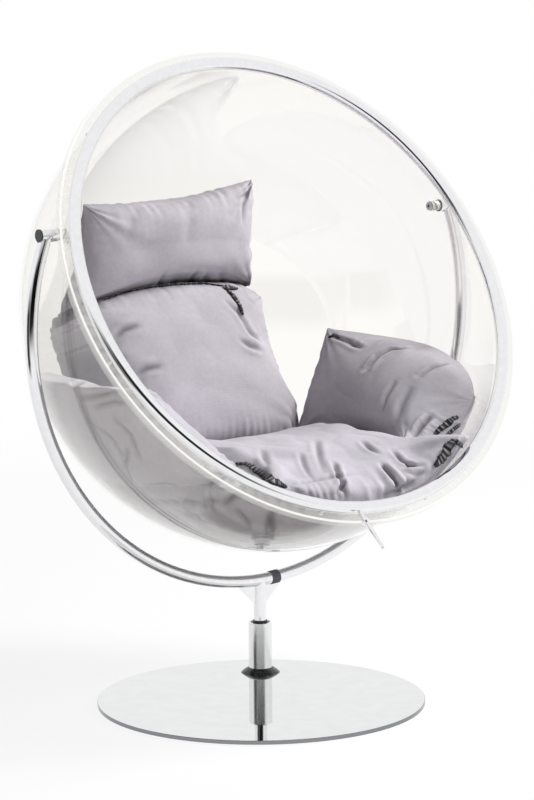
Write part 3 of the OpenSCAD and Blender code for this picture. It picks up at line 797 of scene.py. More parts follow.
def rows_of(mesh, what):
    """The points or the normals of a mesh, three numbers a row."""
    out = np.empty(len(mesh.vertices) * 3)
    mesh.vertices.foreach_get(what, out)
    return out.reshape(-1, 3)


def points_of(piece):
    """Where a piece's points are."""
    return rows_of(piece.data, "co")


def normals_of(piece):
    """Which way a piece's surface faces at each point."""
    return rows_of(piece.data, "normal")


def set_points(piece, points):
    """Moves a piece's points."""
    piece.data.vertices.foreach_set("co", np.ascontiguousarray(points).ravel())
    piece.data.update()


print("a cover has", 2 * CELLS * CELLS, "patches")

# %% [markdown]
# ### Blow the covers up
#
# The cloth has no gravity, only a pressure from inside, and it grows by about
# a tenth over its cut size. After twenty steps the new shape is kept within
# 3 to 10 mm of the pattern and on its own side of the planes where cushions
# touch. It may sink in by 2 mm at most, so that no cushion looks empty.

# %% Inflate
SPARE = {"head_pillow": 0.10, "back_cushion": 0.09, "seat_cushion": 0.14,
         "arm_cushion_left": 0.12, "arm_cushion_right": 0.12}
REACH = {"head_pillow": 0.003, "back_cushion": 0.005, "seat_cushion": 0.010,
         "arm_cushion_left": 0.006, "arm_cushion_right": 0.006}
CLOTH = {"quality": 6, "mass": 0.25, "tension_stiffness": 20, "compression_stiffness": 6,
         "shear_stiffness": 2, "bending_stiffness": 0.06, "use_pressure": True,
         "uniform_pressure_force": 3.0}
CLOTH_STEPS = 20
SINK = 0.002
SEAM_MOVES = 0.12


def inflate(piece, pattern, rows, spare, reach, keep):
    """Runs the cloth and keeps each point within reach of the pattern."""
    cloth = piece.modifiers.new("stuffing", "CLOTH")
    for setting, value in CLOTH.items():
        setattr(cloth.settings, setting, value)
    cloth.settings.shrink_min = -spare
    cloth.settings.effector_weights.gravity = 0
    cloth.collision_settings.use_collision = False
    cloth.point_cache.frame_start = 1
    cloth.point_cache.frame_end = CLOTH_STEPS
    for step in range(1, CLOTH_STEPS + 1):
        bpy.context.scene.frame_set(step)
    graph = bpy.context.evaluated_depsgraph_get()
    blown = bpy.data.meshes.new_from_object(piece.evaluated_get(graph))
    piece.modifiers.remove(cloth)
    points, normals = rows_of(blown, "co"), normals_of(piece)
    bpy.data.meshes.remove(blown)
    move = points - pattern
    inward = np.clip(-np.einsum("ij,ij->i", move, normals), 0, None)
    move += normals * np.clip(inward - SINK, 0, None)[:, None]
    move *= SEAM_MOVES + (1 - SEAM_MOVES) * crown(rows[:, 0], rows[:, 1])[:, None]
    length = np.linalg.norm(move, axis=1, keepdims=True)
    move = move * (reach * np.tanh(length / reach) / np.maximum(length, 1e-9))
    set_points(piece, keep(pattern + move))


covers = {}
pattern_rows = {}
for name in CUSHIONS:
    panel, keep = PANELS[name]
    pattern, faces, rows = sew(panel)
    cover = new_piece(name + "_cover", pattern, faces, rows[:, 2] == 0)
    inflate(cover, pattern, rows, SPARE[name], REACH[name], keep)
    covers[name] = cover
    pattern_rows[name] = rows
    print(name, "cover", len(cover.data.vertices), "points")
bpy.context.scene.frame_set(1)

# %% [markdown]
# The patches are still flat, so each cover is divided twice more into a
# smooth one. A flat twin goes through the same steps, which tells for every
# new point where it lies on the pattern.

# %% Smooth the covers
LEVELS = 2


def smooth_cover(piece, levels):
    """Catmull-Clark steps, kept as a plain mesh."""
    steps = piece.modifiers.new("smooth", "SUBSURF")
    steps.levels = steps.render_levels = levels
    graph = bpy.context.evaluated_depsgraph_get()
    fine = bpy.data.meshes.new_from_object(piece.evaluated_get(graph))
    piece.modifiers.remove(steps)
    old = piece.data
    piece.data = fine
    bpy.data.meshes.remove(old)
    fine.polygons.foreach_set("use_smooth", [True] * len(fine.polygons))


pattern_place = {}
for name, cover in covers.items():
    twin = bpy.data.objects.new("twin", cover.data.copy())
    bpy.context.collection.objects.link(twin)
    set_points(twin, pattern_rows[name])
    smooth_cover(twin, LEVELS)
    pattern_place[name] = points_of(twin)
    bpy.data.objects.remove(twin)
    smooth_cover(cover, LEVELS)
    set_points(cover, PANELS[name][1](points_of(cover)))
    print(name, "now has", len(cover.data.polygons), "faces")

# %% [markdown]
# The pillow sags over the back cushion, so the line between the two is an
# arch, high in the middle and low at the left. Both covers are bent alike
# about their common plane, which keeps them apart.

# %% Arch between pillow and back cushion
ARCH_TOP, ARCH_AT, ARCH_HALF = 0.010, 0.02, 0.2
ARCH_LEFT, ARCH_RIGHT = 0.026, 0.012
ARCH_DIES = 0.055
HANG_HIGH, HANG_SHARE = 0.060, 0.65


def arch(points):
    """Bends points near the common plane up in the middle and down at the sides."""
    x = points[:, 0]
    rise = ARCH_TOP - np.where(x < ARCH_AT, ARCH_LEFT, ARCH_RIGHT) * ((x - ARCH_AT) / ARCH_HALF) ** 2
    off = (points - HEAD_AT) @ HEAD_UP
    bent = points + HEAD_UP * (rise * np.exp(-(off / ARCH_DIES) ** 2))[:, None]
    return in_ball(bent)


def overhang(points, u, side):
    """Lowers the pillow's front onto the plane under it, so that it ends in a tight edge."""
    off = (points - HEAD_AT) @ HEAD_UP
    t = np.clip(off / HANG_HIGH, 0, 1)
    lower = off * HANG_SHARE * (1 - t * t * (3 - 2 * t)) * (1 - np.abs(u) ** 6) * (side > 0)
    return points - HEAD_UP * lower[:, None]


for name in ("head_pillow", "back_cushion"):
    cover = covers[name]
    bent = points_of(cover)
    if name == "head_pillow":
        bent = overhang(bent, pattern_place[name][:, 0], pattern_place[name][:, 2])
    set_points(cover, arch(bent))
print("the seam under the pillow rises", round(1000 * ARCH_TOP), "mm")

# %% [markdown]
# ### Wrinkles
#
# The seam gathers the cloth: short folds stand across it and die away within
# a few centimetres. Longer folds run from each corner, and the slack cloth
# between waves softly. Each fold here is a sum of a few waves with fixed
# random lengths, and moves the cloth in and out along its own normal. HALF
# gives each cover's half width and half height in metres.

# %% Waves
HALF = {"head_pillow": (0.226, 0.123), "back_cushion": (0.256, 0.220), "seat_cushion": (0.300, 0.280),
        "arm_cushion_left": (0.240, 0.110), "arm_cushion_right": (0.240, 0.110)}
GATHERS, PATCHES = (0.016, 0.045), (0.10, 0.20)
PATCHY = 0.4
SEAM_DIES_MM, SEAM_STILL = 18, 0.003
FAN_TURNS = (0.28, 0.55)
CORNER_DIES_MM, CORNER_STILL = 70, 0.012


def waves(s, lengths, rng, count=7):
    """Smooth random waves along s, in metres, with lengths between two limits."""
    total = np.zeros_like(s)
    for _ in range(count):
        length = rng.uniform(*lengths)
        total += np.sin(2 * math.pi * (s / length + rng.random()))
    return total / math.sqrt(count)


def swells(x, y, lengths, rng, count=10):
    """Smooth random waves over a plane, each in its own direction."""
    total = np.zeros_like(x)
    for _ in range(count):
        turn = rng.uniform(0, math.pi)
        length = rng.uniform(*lengths)
        along = x * math.cos(turn) + y * math.sin(turn)
        total += np.sin(2 * math.pi * (along / length + rng.random()))
    return total / math.sqrt(count)


def seam_folds(name, depth, rng):
    """Folds across the seam, on both panels and all four sides."""
    u, v, side = pattern_place[name].T
    wide, high = HALF[name]
    fold = np.zeros_like(u)
    for edge, along, half_e, half_a in ((u, v, wide, high), (v, u, high, wide)):
        for end in (-1, 1):
            away = (1 - end * edge) * half_e
            gather = waves(along * half_a, GATHERS, rng)
            patchy = 1 - PATCHY + PATCHY * waves(along * half_a, PATCHES, rng, 3)
            near = np.exp(-away / (SEAM_DIES_MM / 1000)) * (1 - np.exp(-away / SEAM_STILL))
            fold += gather * patchy * near
    return depth * fold


def corner_folds(name, depth, rng):
    """Folds that fan out from the four corners."""
    u, v, side = pattern_place[name].T
    wide, high = HALF[name]
    fold = np.zeros_like(u)
    for cu in (-1, 1):
        for cv in (-1, 1):
            x, y = (1 - cu * u) * wide, (1 - cv * v) * high
            r = np.hypot(x, y)
            fan = np.arctan2(y, x)
            near = np.exp(-r / (CORNER_DIES_MM / 1000)) * (1 - np.exp(-r / CORNER_STILL))
            fold += waves(fan, FAN_TURNS, rng, 4) * near
    return depth * fold


print("the seam gathers in folds", GATHERS[0], "to", GATHERS[1], "m apart")

# %% [markdown]
# Every cover gets its own mix: how deep its seam gathers, how slack its cloth
# is, and which random numbers it draws. The two panels of a cover differ,
# because the front's waves are shifted against the rear's.

# %% Wrinkle the covers
CORNER_DEEPER = 1.3
SHIFT = 0.05
SOFT_LONG, RIDGE_LONG = (0.09, 0.22), (0.10, 0.22)
SOFT_SHARE, RIDGE_SHARE = 0.8, 0.6
RIDGE_TOP, RIDGE_MIDDLE = 0.8, 0.5
SLACK = {"head_pillow": (0.0022, 0.0012, 1), "back_cushion": (0.0026, 0.0016, 2),
         "seat_cushion": (0.0036, 0.0026, 3), "arm_cushion_left": (0.0030, 0.0020, 4),
         "arm_cushion_right": (0.0014, 0.0016, 5)}
painted_shade = {}
for name, cover in covers.items():
    gathered, slack, seed = SLACK[name]
    rng = np.random.default_rng(seed)
    u, v, side = pattern_place[name].T
    wide, high = HALF[name]
    soft = swells(u * wide + side * SHIFT, v * high, SOFT_LONG, rng)
    ridge = np.abs(swells(u * wide, v * high + side * SHIFT, RIDGE_LONG, rng))
    ridge = np.minimum(ridge, RIDGE_TOP) - RIDGE_MIDDLE
    push = (seam_folds(name, gathered, rng) + corner_folds(name, CORNER_DEEPER * gathered, rng)
            + slack * (SOFT_SHARE * soft + RIDGE_SHARE * ridge))
    moved = points_of(cover) + normals_of(cover) * push[:, None]
    set_points(cover, in_ball(moved))
    painted_shade[name] = np.zeros(len(u))
    print(name, "wrinkled by up to", round(float(np.abs(push).max()) * 1000, 1), "mm")

# %% [markdown]
# A few folds are sharper, where the cushions are squashed into the bowl. Each
# one is drawn along a line of picture points cast onto the cover: a valley
# with a soft bank on both sides, deepest in its middle. Its bottom also gets
# painted shade, darker than the cloth round it, as little light reaches there.

# %% How a sharp fold is drawn
PIXEL_STEP, LINE_STEP = 2.0, 0.002
BANK_HIGH, BANK_AT, BANK_WIDE = 0.35, 2.2, 1.1
END_POWER = 0.6
PAINTED_SHADE_FULL_MM, PAINTED_SHADE_WIDE = 7, 0.8


def on_cloth(cover, spots, step=PIXEL_STEP):
    """Casts an even line through picture points onto a cover."""
    spots = np.array(spots, dtype=float)
    reach = np.concatenate([[0], np.cumsum(np.hypot(*np.diff(spots, axis=0).T))])
    marks = np.linspace(0, reach[-1], max(int(reach[-1] / step), 2) + 1)
    line = []
    for x, y in zip(np.interp(marks, reach, spots[:, 0]), np.interp(marks, reach, spots[:, 1])):
        hit, at, normal, face = cover.ray_cast(CAMERA_AT, sight(x, y))
        if hit:
            line.append((at, normal))
    return line


def even_line(line, step):
    """The same line with points at an even step, however slanted the cloth was seen."""
    run = np.concatenate([[0], np.cumsum(np.linalg.norm(np.diff(line, axis=0), axis=1))])
    marks = np.linspace(0, run[-1], max(int(run[-1] / step), 2) + 1)
    return np.stack([np.interp(marks, run, line[:, axis]) for axis in range(3)], 1)


def crease(name, wide, deep, *spots):
    """A valley along picture points, with painted shade along its bottom; wide and deep in millimetres."""
    cover = covers[name]
    line = even_line(np.array([at for at, normal in on_cloth(cover, spots)]), LINE_STEP)
    points, normals = points_of(cover), normals_of(cover)
    margin = 5 * wide / 1000
    inside = (points > line.min(axis=0) - margin) & (points < line.max(axis=0) + margin)
    near = np.flatnonzero(inside.all(axis=1))
    apart = np.linalg.norm(points[near, None] - line[None], axis=2)
    ends = np.sin(math.pi * (apart.argmin(axis=1) + 0.5) / len(line)) ** END_POWER
    far = apart.min(axis=1) / (wide / 1000)
    bank = BANK_HIGH * np.exp(-((far - BANK_AT) / BANK_WIDE) ** 2)
    push = ends * (bank - np.exp(-far ** 2)) * deep / 1000
    points[near] += normals[near] * push[:, None]
    set_points(cover, in_ball(points))
    # painted shade along the valley's bottom, fuller for a deeper valley
    dark = min(deep / PAINTED_SHADE_FULL_MM, 1) * ends * np.exp(-(far / PAINTED_SHADE_WIDE) ** 2)
    painted_shade[name][near] = np.maximum(painted_shade[name][near], dark)


print("a fold is cast onto the cloth every", PIXEL_STEP, "pixels")

# %% [markdown]
# The arm cushions sag onto the seat cushion until they touch it. Two sewn
# corners that stand out in the picture are moved onto their lines of sight.
# Where a sewn edge is pressed against its neighbour, painted shade darkens the cloth.

# %% Sags, corners and pressed edges
SAG_MARKS, SAG_SAMPLES, SAG_GAP = 25, 12, 0.002
SAG_EDGE, SAG_NEAR = -0.96, 0.06
SAG_EASED = 2
CORNER_OFF = 0.004
PILLOW_TIP, SEAT_TIP = (57, 316), (467, 438)


def settle(name, under, most):
    """Lets a cover's lower part sag onto another one, by at most so many metres."""
    cover, rest = covers[name], covers[under]
    points = points_of(cover)
    u, v, side = pattern_place[name].T
    marks = np.linspace(-1, 1, SAG_MARKS)
    rooms = []
    for mark in marks:
        low = np.flatnonzero((v < SAG_EDGE) & (np.abs(u - mark) < SAG_NEAR))
        drops = []
        for i in low[::max(1, len(low) // SAG_SAMPLES)]:
            hit, at, normal, face = rest.ray_cast(Vector(points[i]), Vector((0, 0, -1)))
            drops.append(points[i][2] - at.z - SAG_GAP if hit else 0)
        rooms.append(max(0, min(np.median(drops), most)) if drops else 0)
    window = 2 * SAG_EASED + 1
    rooms = np.convolve(np.pad(rooms, SAG_EASED, mode="edge"), np.ones(window) / window, mode="valid")
    sag = np.interp(u, marks, rooms) * ((1 - v) / 2) ** 2
    points[:, 2] -= sag
    set_points(cover, points)
    print(name, "sags by up to", round(float(sag.max()) * 1000, 1), "mm")


def pull(names, held, corner, spot, reach):
    """Moves a sewn corner onto a line of sight; the covers near it follow alike."""
    u, v, side = pattern_place[held].T
    tip = points_of(covers[held])[np.hypot(u - corner[0], v - corner[1]).argmin()]
    ray = np.array(sight(*spot))
    goal = np.array(CAMERA_AT) + ray * ((tip - np.array(CAMERA_AT)) @ ray)
    goal = in_ball(goal[None], CORNER_OFF)[0]
    for name in names:
        points = points_of(covers[name])
        share = np.exp(-(np.linalg.norm(points - tip, axis=1) / reach) ** 2)
        set_points(covers[name], in_ball(points + (goal - tip) * share[:, None]))
    print(held, "corner pulled by", round(float(np.linalg.norm(goal - tip)) * 1000, 1), "mm")


def paint_pressed_shade(name, edge, away_mm, dark=0.9):
    """Paints shade on the cloth along its top (1) or bottom (-1) edge, where it is pressed."""
    place = 1 - edge * pattern_place[name][:, 1]
    near = place * HALF[name][1] * 1000 / away_mm
    painted_shade[name] = np.maximum(painted_shade[name], dark * np.exp(-near ** 2))


bpy.context.view_layer.update()
settle("arm_cushion_right", "seat_cushion", 0.026)
settle("arm_cushion_left", "seat_cushion", 0.020)
pull(("head_pillow", "back_cushion"), "head_pillow", (-1, -1), PILLOW_TIP, 0.075)
pull(("seat_cushion", "arm_cushion_right"), "seat_cushion", (1, -1), SEAT_TIP, 0.080)
# painted shade along the pressed edges of the pillow, the back cushion and the right arm cushion
paint_pressed_shade("head_pillow", -1, 10, 1.4)
paint_pressed_shade("back_cushion", 1, 8, 1.4)
paint_pressed_shade("back_cushion", -1, 14)
paint_pressed_shade("arm_cushion_right", -1, 12)
bpy.context.view_layer.update()

# %% [markdown]
# Each row names the cover, then gives the valley's width and depth in
# millimetres and the picture points that it runs through.

# %% Lay the sharp folds
CREASES = [
    ("head_pillow", 5, 6, (251, 186), (246, 194), (238, 199)),
    ("head_pillow", 6, 5, (247, 192), (244, 206), (243, 222)),
    ("head_pillow", 7, 2, (158, 287), (161, 280), (164, 274)),
    ("head_pillow", 7, 3, (190, 284), (194, 277), (198, 270)),
    ("head_pillow", 7, 2, (207, 283), (206, 277), (207, 271)),
    ("head_pillow", 7, 2, (222, 283), (221, 277), (222, 269)),
    ("head_pillow", 14, 2, (138, 206), (134, 222), (128, 244)),
    ("head_pillow", 14, 2, (190, 200), (192, 222), (188, 246)),
    ("back_cushion", 7, 6, (112, 339), (124, 330), (138, 325)),
    ("back_cushion", 7, 6, (134, 376), (146, 369), (160, 366)),
    ("back_cushion", 6, 5, (243, 322), (251, 333), (260, 340)),
    ("back_cushion", 6, 5, (240, 340), (250, 346), (262, 350)),
    ("back_cushion", 6, 4, (225, 300), (238, 312), (246, 326)),
    ("seat_cushion", 5, 11, (334, 462), (338, 474), (343, 486), (347, 498)),
    ("seat_cushion", 5, 9, (346, 479), (341, 488), (337, 496)),
    ("seat_cushion", 6, 15, (382, 464), (389, 473), (401, 489)),
    ("seat_cushion", 5, 7, (393, 451), (402, 461), (414, 467)),
    ("seat_cushion", 5, 5, (362, 441), (369, 448), (380, 454)),
    ("seat_cushion", 6, 5, (316, 440), (319, 456), (324, 474)),
    ("seat_cushion", 5, 4, (300, 452), (304, 466), (312, 480)),
    ("seat_cushion", 5, 4, (401, 466), (412, 466), (425, 465)),
    ("seat_cushion", 5, 4, (404, 472), (414, 474), (426, 472)),
    ("seat_cushion", 7, 7, (376, 499), (394, 492), (412, 484), (424, 470)),
    ("seat_cushion", 4, 3, (290, 485), (312, 481), (334, 477), (356, 474)),
    ("seat_cushion", 6, 5, (262, 449), (264, 457), (268, 466)),
    ("arm_cushion_right", 5.5, 20, (404, 348), (390, 351), (378, 357), (365, 370)),
    ("arm_cushion_right", 5, 14, (446, 363), (432, 368), (418, 376)),
    ("arm_cushion_right", 6, 14, (431, 416), (421, 426), (413, 437)),
    ("arm_cushion_right", 9, 5, (412, 386), (402, 404), (395, 426)),
    ("arm_cushion_right", 6, 5, (396, 380), (386, 396), (382, 412)),
    ("arm_cushion_right", 5, 5, (334, 337), (341, 339), (348, 343)),
    ("arm_cushion_right", 6, 6, (345, 338), (352, 344), (362, 348)),
    ("arm_cushion_left", 7, 14, (73, 388), (80, 404), (96, 444), (116, 476), (142, 500), (166, 521)),
    ("arm_cushion_left", 6, 8, (70, 388), (82, 381), (96, 377)),
    ("arm_cushion_left", 6, 6, (80, 398), (98, 396), (122, 391)),
    ("arm_cushion_left", 7, 6, (92, 408), (112, 402), (128, 404)),
    ("arm_cushion_left", 8, 5, (92, 424), (112, 440), (128, 466)),
    ("arm_cushion_left", 8, 5, (110, 416), (130, 436), (140, 462)),
    ("arm_cushion_left", 7, 6, (128, 448), (124, 466), (132, 484)),
    ("arm_cushion_left", 7, 6, (150, 486), (166, 484), (182, 488)),
    ("seat_cushion", 5, 8, (142, 501), (168, 502), (194, 502), (222, 501)),
    ("seat_cushion", 6, 7, (186, 485), (194, 477), (202, 470)),
    ("seat_cushion", 8, 12, (241, 494), (231, 500), (222, 506)),
    ("seat_cushion", 10, 14, (272, 511), (271, 524), (273, 538)),
    ("seat_cushion", 8, 8, (185, 510), (200, 522), (222, 528)),
    ("seat_cushion", 6, 5, (172, 508), (186, 516), (204, 516)),
    ("seat_cushion", 7, 5, (236, 508), (246, 520), (250, 532)),
]
for name, wide, deep, *spots in CREASES:
    crease(name, wide, deep, *spots)
# each cover's painted shade is stored in its fold attribute, which the fabric reads
for name, cover in covers.items():
    shade = cover.data.attributes.new("fold", "FLOAT", "POINT")
    shade.data.foreach_set("value", painted_shade[name])
print(len(CREASES), "sharp folds")

# %% [markdown]
# ### Cloth
#
# The covers are a lilac-grey woven polyester. A real thread is about 0.4 mm
# wide, too fine for the picture, so the weave is drawn coarser, with ridges
# and gaps of 1.6 mm each. Uneven yarn varies its colour a little, and a soft
# sheen lightens it at a slant. The fold value paints shade into the bottom of
# a sharp fold and along pressed edges.

# %% Fabric
RIDGE_MM, YARN_MM, CLOUD_MM = 1.6, 9, 140
DYE_AND_SHADE_MOST = 1.6


def woven(name, tint, shade, light, deepest=0.12):
    """Woven cloth: a weave along all three axes, uneven yarn, and painted shade from the fold value."""
    material, tree, output = finish_named(name)
    place = add(tree, "ShaderNodeTexCoord").outputs["Object"]
    threads = []
    for turn in ((0, 0, 0), (0, 0, math.pi / 2), (0, math.pi / 2, 0)):
        turned = add(tree, "ShaderNodeMapping", {"Vector": place, "Rotation": turn})
        wave = add(tree, "ShaderNodeTexWave",
                   {"Vector": turned.outputs[0], "Scale": 1000 / RIDGE_MM / (2 * math.pi), "Distortion": 0.4},
                   wave_type="BANDS", bands_direction="X")
        threads.append(wave.outputs["Fac"])
    weave = add(tree, "ShaderNodeMath", {0: threads[0], 1: threads[1]}, operation="ADD")
    weave = add(tree, "ShaderNodeMath", {0: weave.outputs[0], 1: threads[2]}, operation="ADD")
    yarn = add(tree, "ShaderNodeTexNoise", {"Vector": place, "Scale": 1000 / YARN_MM, "Detail": 4.0})
    cloud = add(tree, "ShaderNodeTexNoise", {"Vector": place, "Scale": 1000 / CLOUD_MM, "Detail": 3.0})
    tone = ramp(tree, cloud.outputs[0], [(0.3, colour(shade)), (0.5, colour(tint)), (0.72, colour(light))])
    fleck = add(tree, "ShaderNodeMapRange",
                {"Value": yarn.outputs[0], "From Min": 0.3, "From Max": 0.7, "To Min": 0.95, "To Max": 1.04})
    tinted = add(tree, "ShaderNodeVectorMath", {0: tone.outputs[0]}, operation="SCALE")
    tree.links.new(fleck.outputs[0], tinted.inputs["Scale"])
    # the fold value paints shade into folds and pressed edges; on a tape it also makes the tape's own black,
    # with painted highlights on its pleat crests
    fold = add(tree, "ShaderNodeAttribute", attribute_name="fold").outputs["Fac"]
    dim = add(tree, "ShaderNodeMapRange",
              {"Value": fold, "From Max": DYE_AND_SHADE_MOST, "To Min": 1.0, "To Max": deepest})
    tinted = add(tree, "ShaderNodeVectorMath", {0: tinted.outputs[0]}, operation="SCALE")
    tree.links.new(dim.outputs[0], tinted.inputs["Scale"])
    height = add(tree, "ShaderNodeMath", {0: weave.outputs[0], 1: yarn.outputs[0]}, operation="ADD")
    bump = add(tree, "ShaderNodeBump", {"Height": height.outputs[0], "Strength": 0.35, "Distance": 0.00012})
    cloth = add(tree, "ShaderNodeBsdfPrincipled",
                {"Base Color": tinted.outputs[0], "Roughness": 0.85, "Normal": bump.outputs[0],
                 "Sheen Weight": 0.12, "Sheen Roughness": 0.6, "Specular IOR Level": 0.12})
    tree.links.new(cloth.outputs[0], output.inputs["Surface"])
    return material


FABRIC = woven("lilac_grey_canvas", "#B4B0B8", "#ADA9B1", "#BCB8C0")
print("fabric", FABRIC.name)

# %% [markdown]
# ### Ties
#
# Black tapes hold the cushions together at their corners. Each one is
# gathered, so it lies in small pleats. It is drawn along picture points like
# the folds, then given its width along the cover and a thin closed body. It
# has the same weave, and the same fold value darkens it nearly to black all
# over, which is its own colour. On the crests of the pleats it darkens less:
# a painted highlight where they would catch the light.

# %% Gathered ties
TAPE = woven("black_tape", "#A9A8AD", "#98979C", "#B6B5BA", deepest=0.02)
TAPE_STEP = 0.5
EASED = 6
LANES = 9
SWAY, CRIMP = (0.02, 0.05), (0.005, 0.016)
EVEN_PLEATS, LOOSE_PLEATS, PLEAT_SHIFT, MIDDLE_PLEATS = 0.6, 0.5, 1.6, 0.4
EDGE_PLEATED, EDGE_WAVY = 0.05, 0.16
TAPER_LEAST, TAPER_POWER = 0.05, 0.35
LIFT, PLEAT_HIGH, TAPE_THICK = 0.0022, 0.0016, 0.0016
FULL_DARK, PAINTED_PLEAT_HIGHLIGHT = 1.55, 1.5


def tie(name, cover_name, wide_mm, pleat_mm, *spots):
    """A gathered tape along picture points on a cover."""
    rng = np.random.default_rng(len(name) + wide_mm)
    line = on_cloth(covers[cover_name], spots, TAPE_STEP)
    at = np.array([p for p, n in line])
    out = np.array([n for p, n in line])
    out = np.array([out[max(0, i - EASED):i + EASED + 1].mean(axis=0) for i in range(len(out))])
    out /= np.linalg.norm(out, axis=1, keepdims=True)
    ahead = np.gradient(at, axis=0)
    ahead /= np.maximum(np.linalg.norm(ahead, axis=1, keepdims=True), 1e-9)
    side_way = np.cross(out, ahead)
    side_way /= np.linalg.norm(side_way, axis=1, keepdims=True)
    run = np.concatenate([[0], np.cumsum(np.linalg.norm(np.diff(at, axis=0), axis=1))])
    taper = np.clip(np.sin(np.linspace(0, math.pi, len(run))), TAPER_LEAST, None) ** TAPER_POWER
    strips = np.linspace(-1, 1, LANES)
    shift = PLEAT_SHIFT * waves(run, SWAY, rng, 3)
    pleat = EVEN_PLEATS * np.sin(2 * math.pi * run / (pleat_mm / 1000) + shift)
    pleat += LOOSE_PLEATS * waves(run, CRIMP, rng, 4)
    top = []
    for lane in strips:
        edge = lane * (1 + EDGE_PLEATED * pleat + EDGE_WAVY * waves(run, SWAY, rng, 3)) * wide_mm / 2000
        pleated = MIDDLE_PLEATS + (1 - MIDDLE_PLEATS) * lane * lane
        lift = LIFT + PLEAT_HIGH * pleat * pleated + PLEAT_HIGH * (1 - lane * lane)
        top.append(at + side_way * (edge * taper)[:, None] + out * lift[:, None])
    top = np.array(top)
    bottom = top - out[None] * TAPE_THICK
    long, lanes = len(run), len(strips)
    points = np.concatenate([top.reshape(-1, 3), bottom.reshape(-1, 3)])
    faces = []
    for i in range(lanes - 1):
        for j in range(long - 1):
            a, b, c, d = i * long + j, (i + 1) * long + j, (i + 1) * long + j + 1, i * long + j + 1
            faces += [(a, b, c, d), tuple(k + lanes * long for k in (d, c, b, a))]
    ring = ([i * long for i in range(lanes)] + [(lanes - 1) * long + j for j in range(1, long)]
            + [i * long + long - 1 for i in range(lanes - 2, -1, -1)] + list(range(long - 2, 0, -1)))
    for k, a in enumerate(ring):
        b = ring[(k + 1) % len(ring)]
        faces.append((b, a, a + lanes * long, b + lanes * long))
    piece = new_piece(name, points, faces)
    piece.data.materials.append(TAPE)
    inner = 1 - strips[:, None] ** 2
    # the tape's own black, lifted on the pleat crests by a painted highlight
    dark = np.clip(FULL_DARK - PAINTED_PLEAT_HIGHLIGHT * np.clip(pleat[None], 0, 1) * inner, 0, DYE_AND_SHADE_MOST)
    shade = piece.data.attributes.new("fold", "FLOAT", "POINT")
    shade.data.foreach_set("value", np.tile(dark.ravel(), 2))
    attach(piece, "bubble")


print("tape", TAPE.name)

# %% [markdown]
# Each row names the tape and the cover that it lies on, then gives its width
# and the length of its pleats in millimetres, and its picture points.

# %% Lay the ties
bpy.context.view_layer.update()
TIES = [
    ("tie_left_corner", "seat_cushion", 16, 13, (250, 467), (262, 474), (273, 481), (286, 487)),
    ("tie_left_knot", "seat_cushion", 9, 9, (236, 464), (244, 464), (255, 467)),
    ("tie_right_corner", "seat_cushion", 22, 11, (453, 440), (447, 450), (441, 459), (434, 466)),
    ("tie_right_strap", "arm_cushion_right", 14, 9, (435, 434), (443, 427), (452, 420), (458, 417)),
    ("tie_right_loop", "arm_cushion_right", 8, 8, (446, 435), (453, 430), (460, 424)),
    ("tie_arm_corner", "arm_cushion_right", 8, 6, (329, 338), (334, 335), (340, 338)),
    ("tie_right_end", "seat_cushion", 9, 7, (455, 440), (460, 444), (463, 449)),
    ("tie_under_pillow", "back_cushion", 5, 12,
     (103, 301), (125, 293), (150, 288), (175, 285), (205, 284), (226, 287)),
    ("tie_top", "back_cushion", 12, 9, (226, 289), (233, 296), (239, 305), (243, 315)),
    ("tie_top_knot", "back_cushion", 14, 8, (223, 288), (230, 288), (237, 289)),
    ("tie_pillow_corner", "head_pillow", 16, 8, (70, 310), (66, 314), (61, 316)),
]
for name, cover_name, wide_mm, pleat_mm, *spots in TIES:
    tie(name, cover_name, wide_mm, pleat_mm, *spots)
print(len(TIES), "pieces of tape")

# %% [markdown]
# ### Stitches and welds
#
# A closing seam runs round each cushion, sewn with a thick thread. The pivot
# hubs are welded to the yoke's ends, and a weld is a row of small overlapping
# drops. Both are the same thing: small rounded bodies laid along a path.
# Geometry nodes lay them, so that their pitch stays even on any path.

# %% Bodies along a path


def path_tree():
    """A node tree that lays rounded bodies along the edges of a mesh."""
    tree = bpy.data.node_groups.new("bodies_on_path", "GeometryNodeTree")
    face = tree.interface
    face.new_socket("Path", in_out="INPUT", socket_type="NodeSocketGeometry")
    for label in ("Pitch", "Length", "Thickness"):
        face.new_socket(label, in_out="INPUT", socket_type="NodeSocketFloat")
    face.new_socket("Surface", in_out="INPUT", socket_type="NodeSocketMaterial")
    face.new_socket("Bodies", in_out="OUTPUT", socket_type="NodeSocketGeometry")
    given = tree.nodes.new("NodeGroupInput").outputs
    curve = add(tree, "GeometryNodeMeshToCurve", {"Mesh": given["Path"]})
    marks = add(tree, "GeometryNodeCurveToPoints",
                {"Curve": curve.outputs[0], "Length": given["Pitch"]}, mode="LENGTH")
    body = add(tree, "GeometryNodeMeshUVSphere", {"Segments": 8, "Rings": 6, "Radius": 0.5})
    scale = add(tree, "ShaderNodeCombineXYZ",
                {0: given["Thickness"], 1: given["Thickness"], 2: given["Length"]})
    laid = add(tree, "GeometryNodeInstanceOnPoints",
               {"Points": marks.outputs["Points"], "Instance": body.outputs["Mesh"],
                "Rotation": marks.outputs["Rotation"], "Scale": scale.outputs[0]})
    real = add(tree, "GeometryNodeRealizeInstances", {"Geometry": laid.outputs[0]})
    smooth = add(tree, "GeometryNodeSetShadeSmooth", {"Geometry": real.outputs[0]})
    coat = add(tree, "GeometryNodeSetMaterial", {"Geometry": smooth.outputs[0], "Material": given["Surface"]})
    tree.links.new(coat.outputs[0], tree.nodes.new("NodeGroupOutput").inputs["Bodies"])
    return tree


ALONG = path_tree()


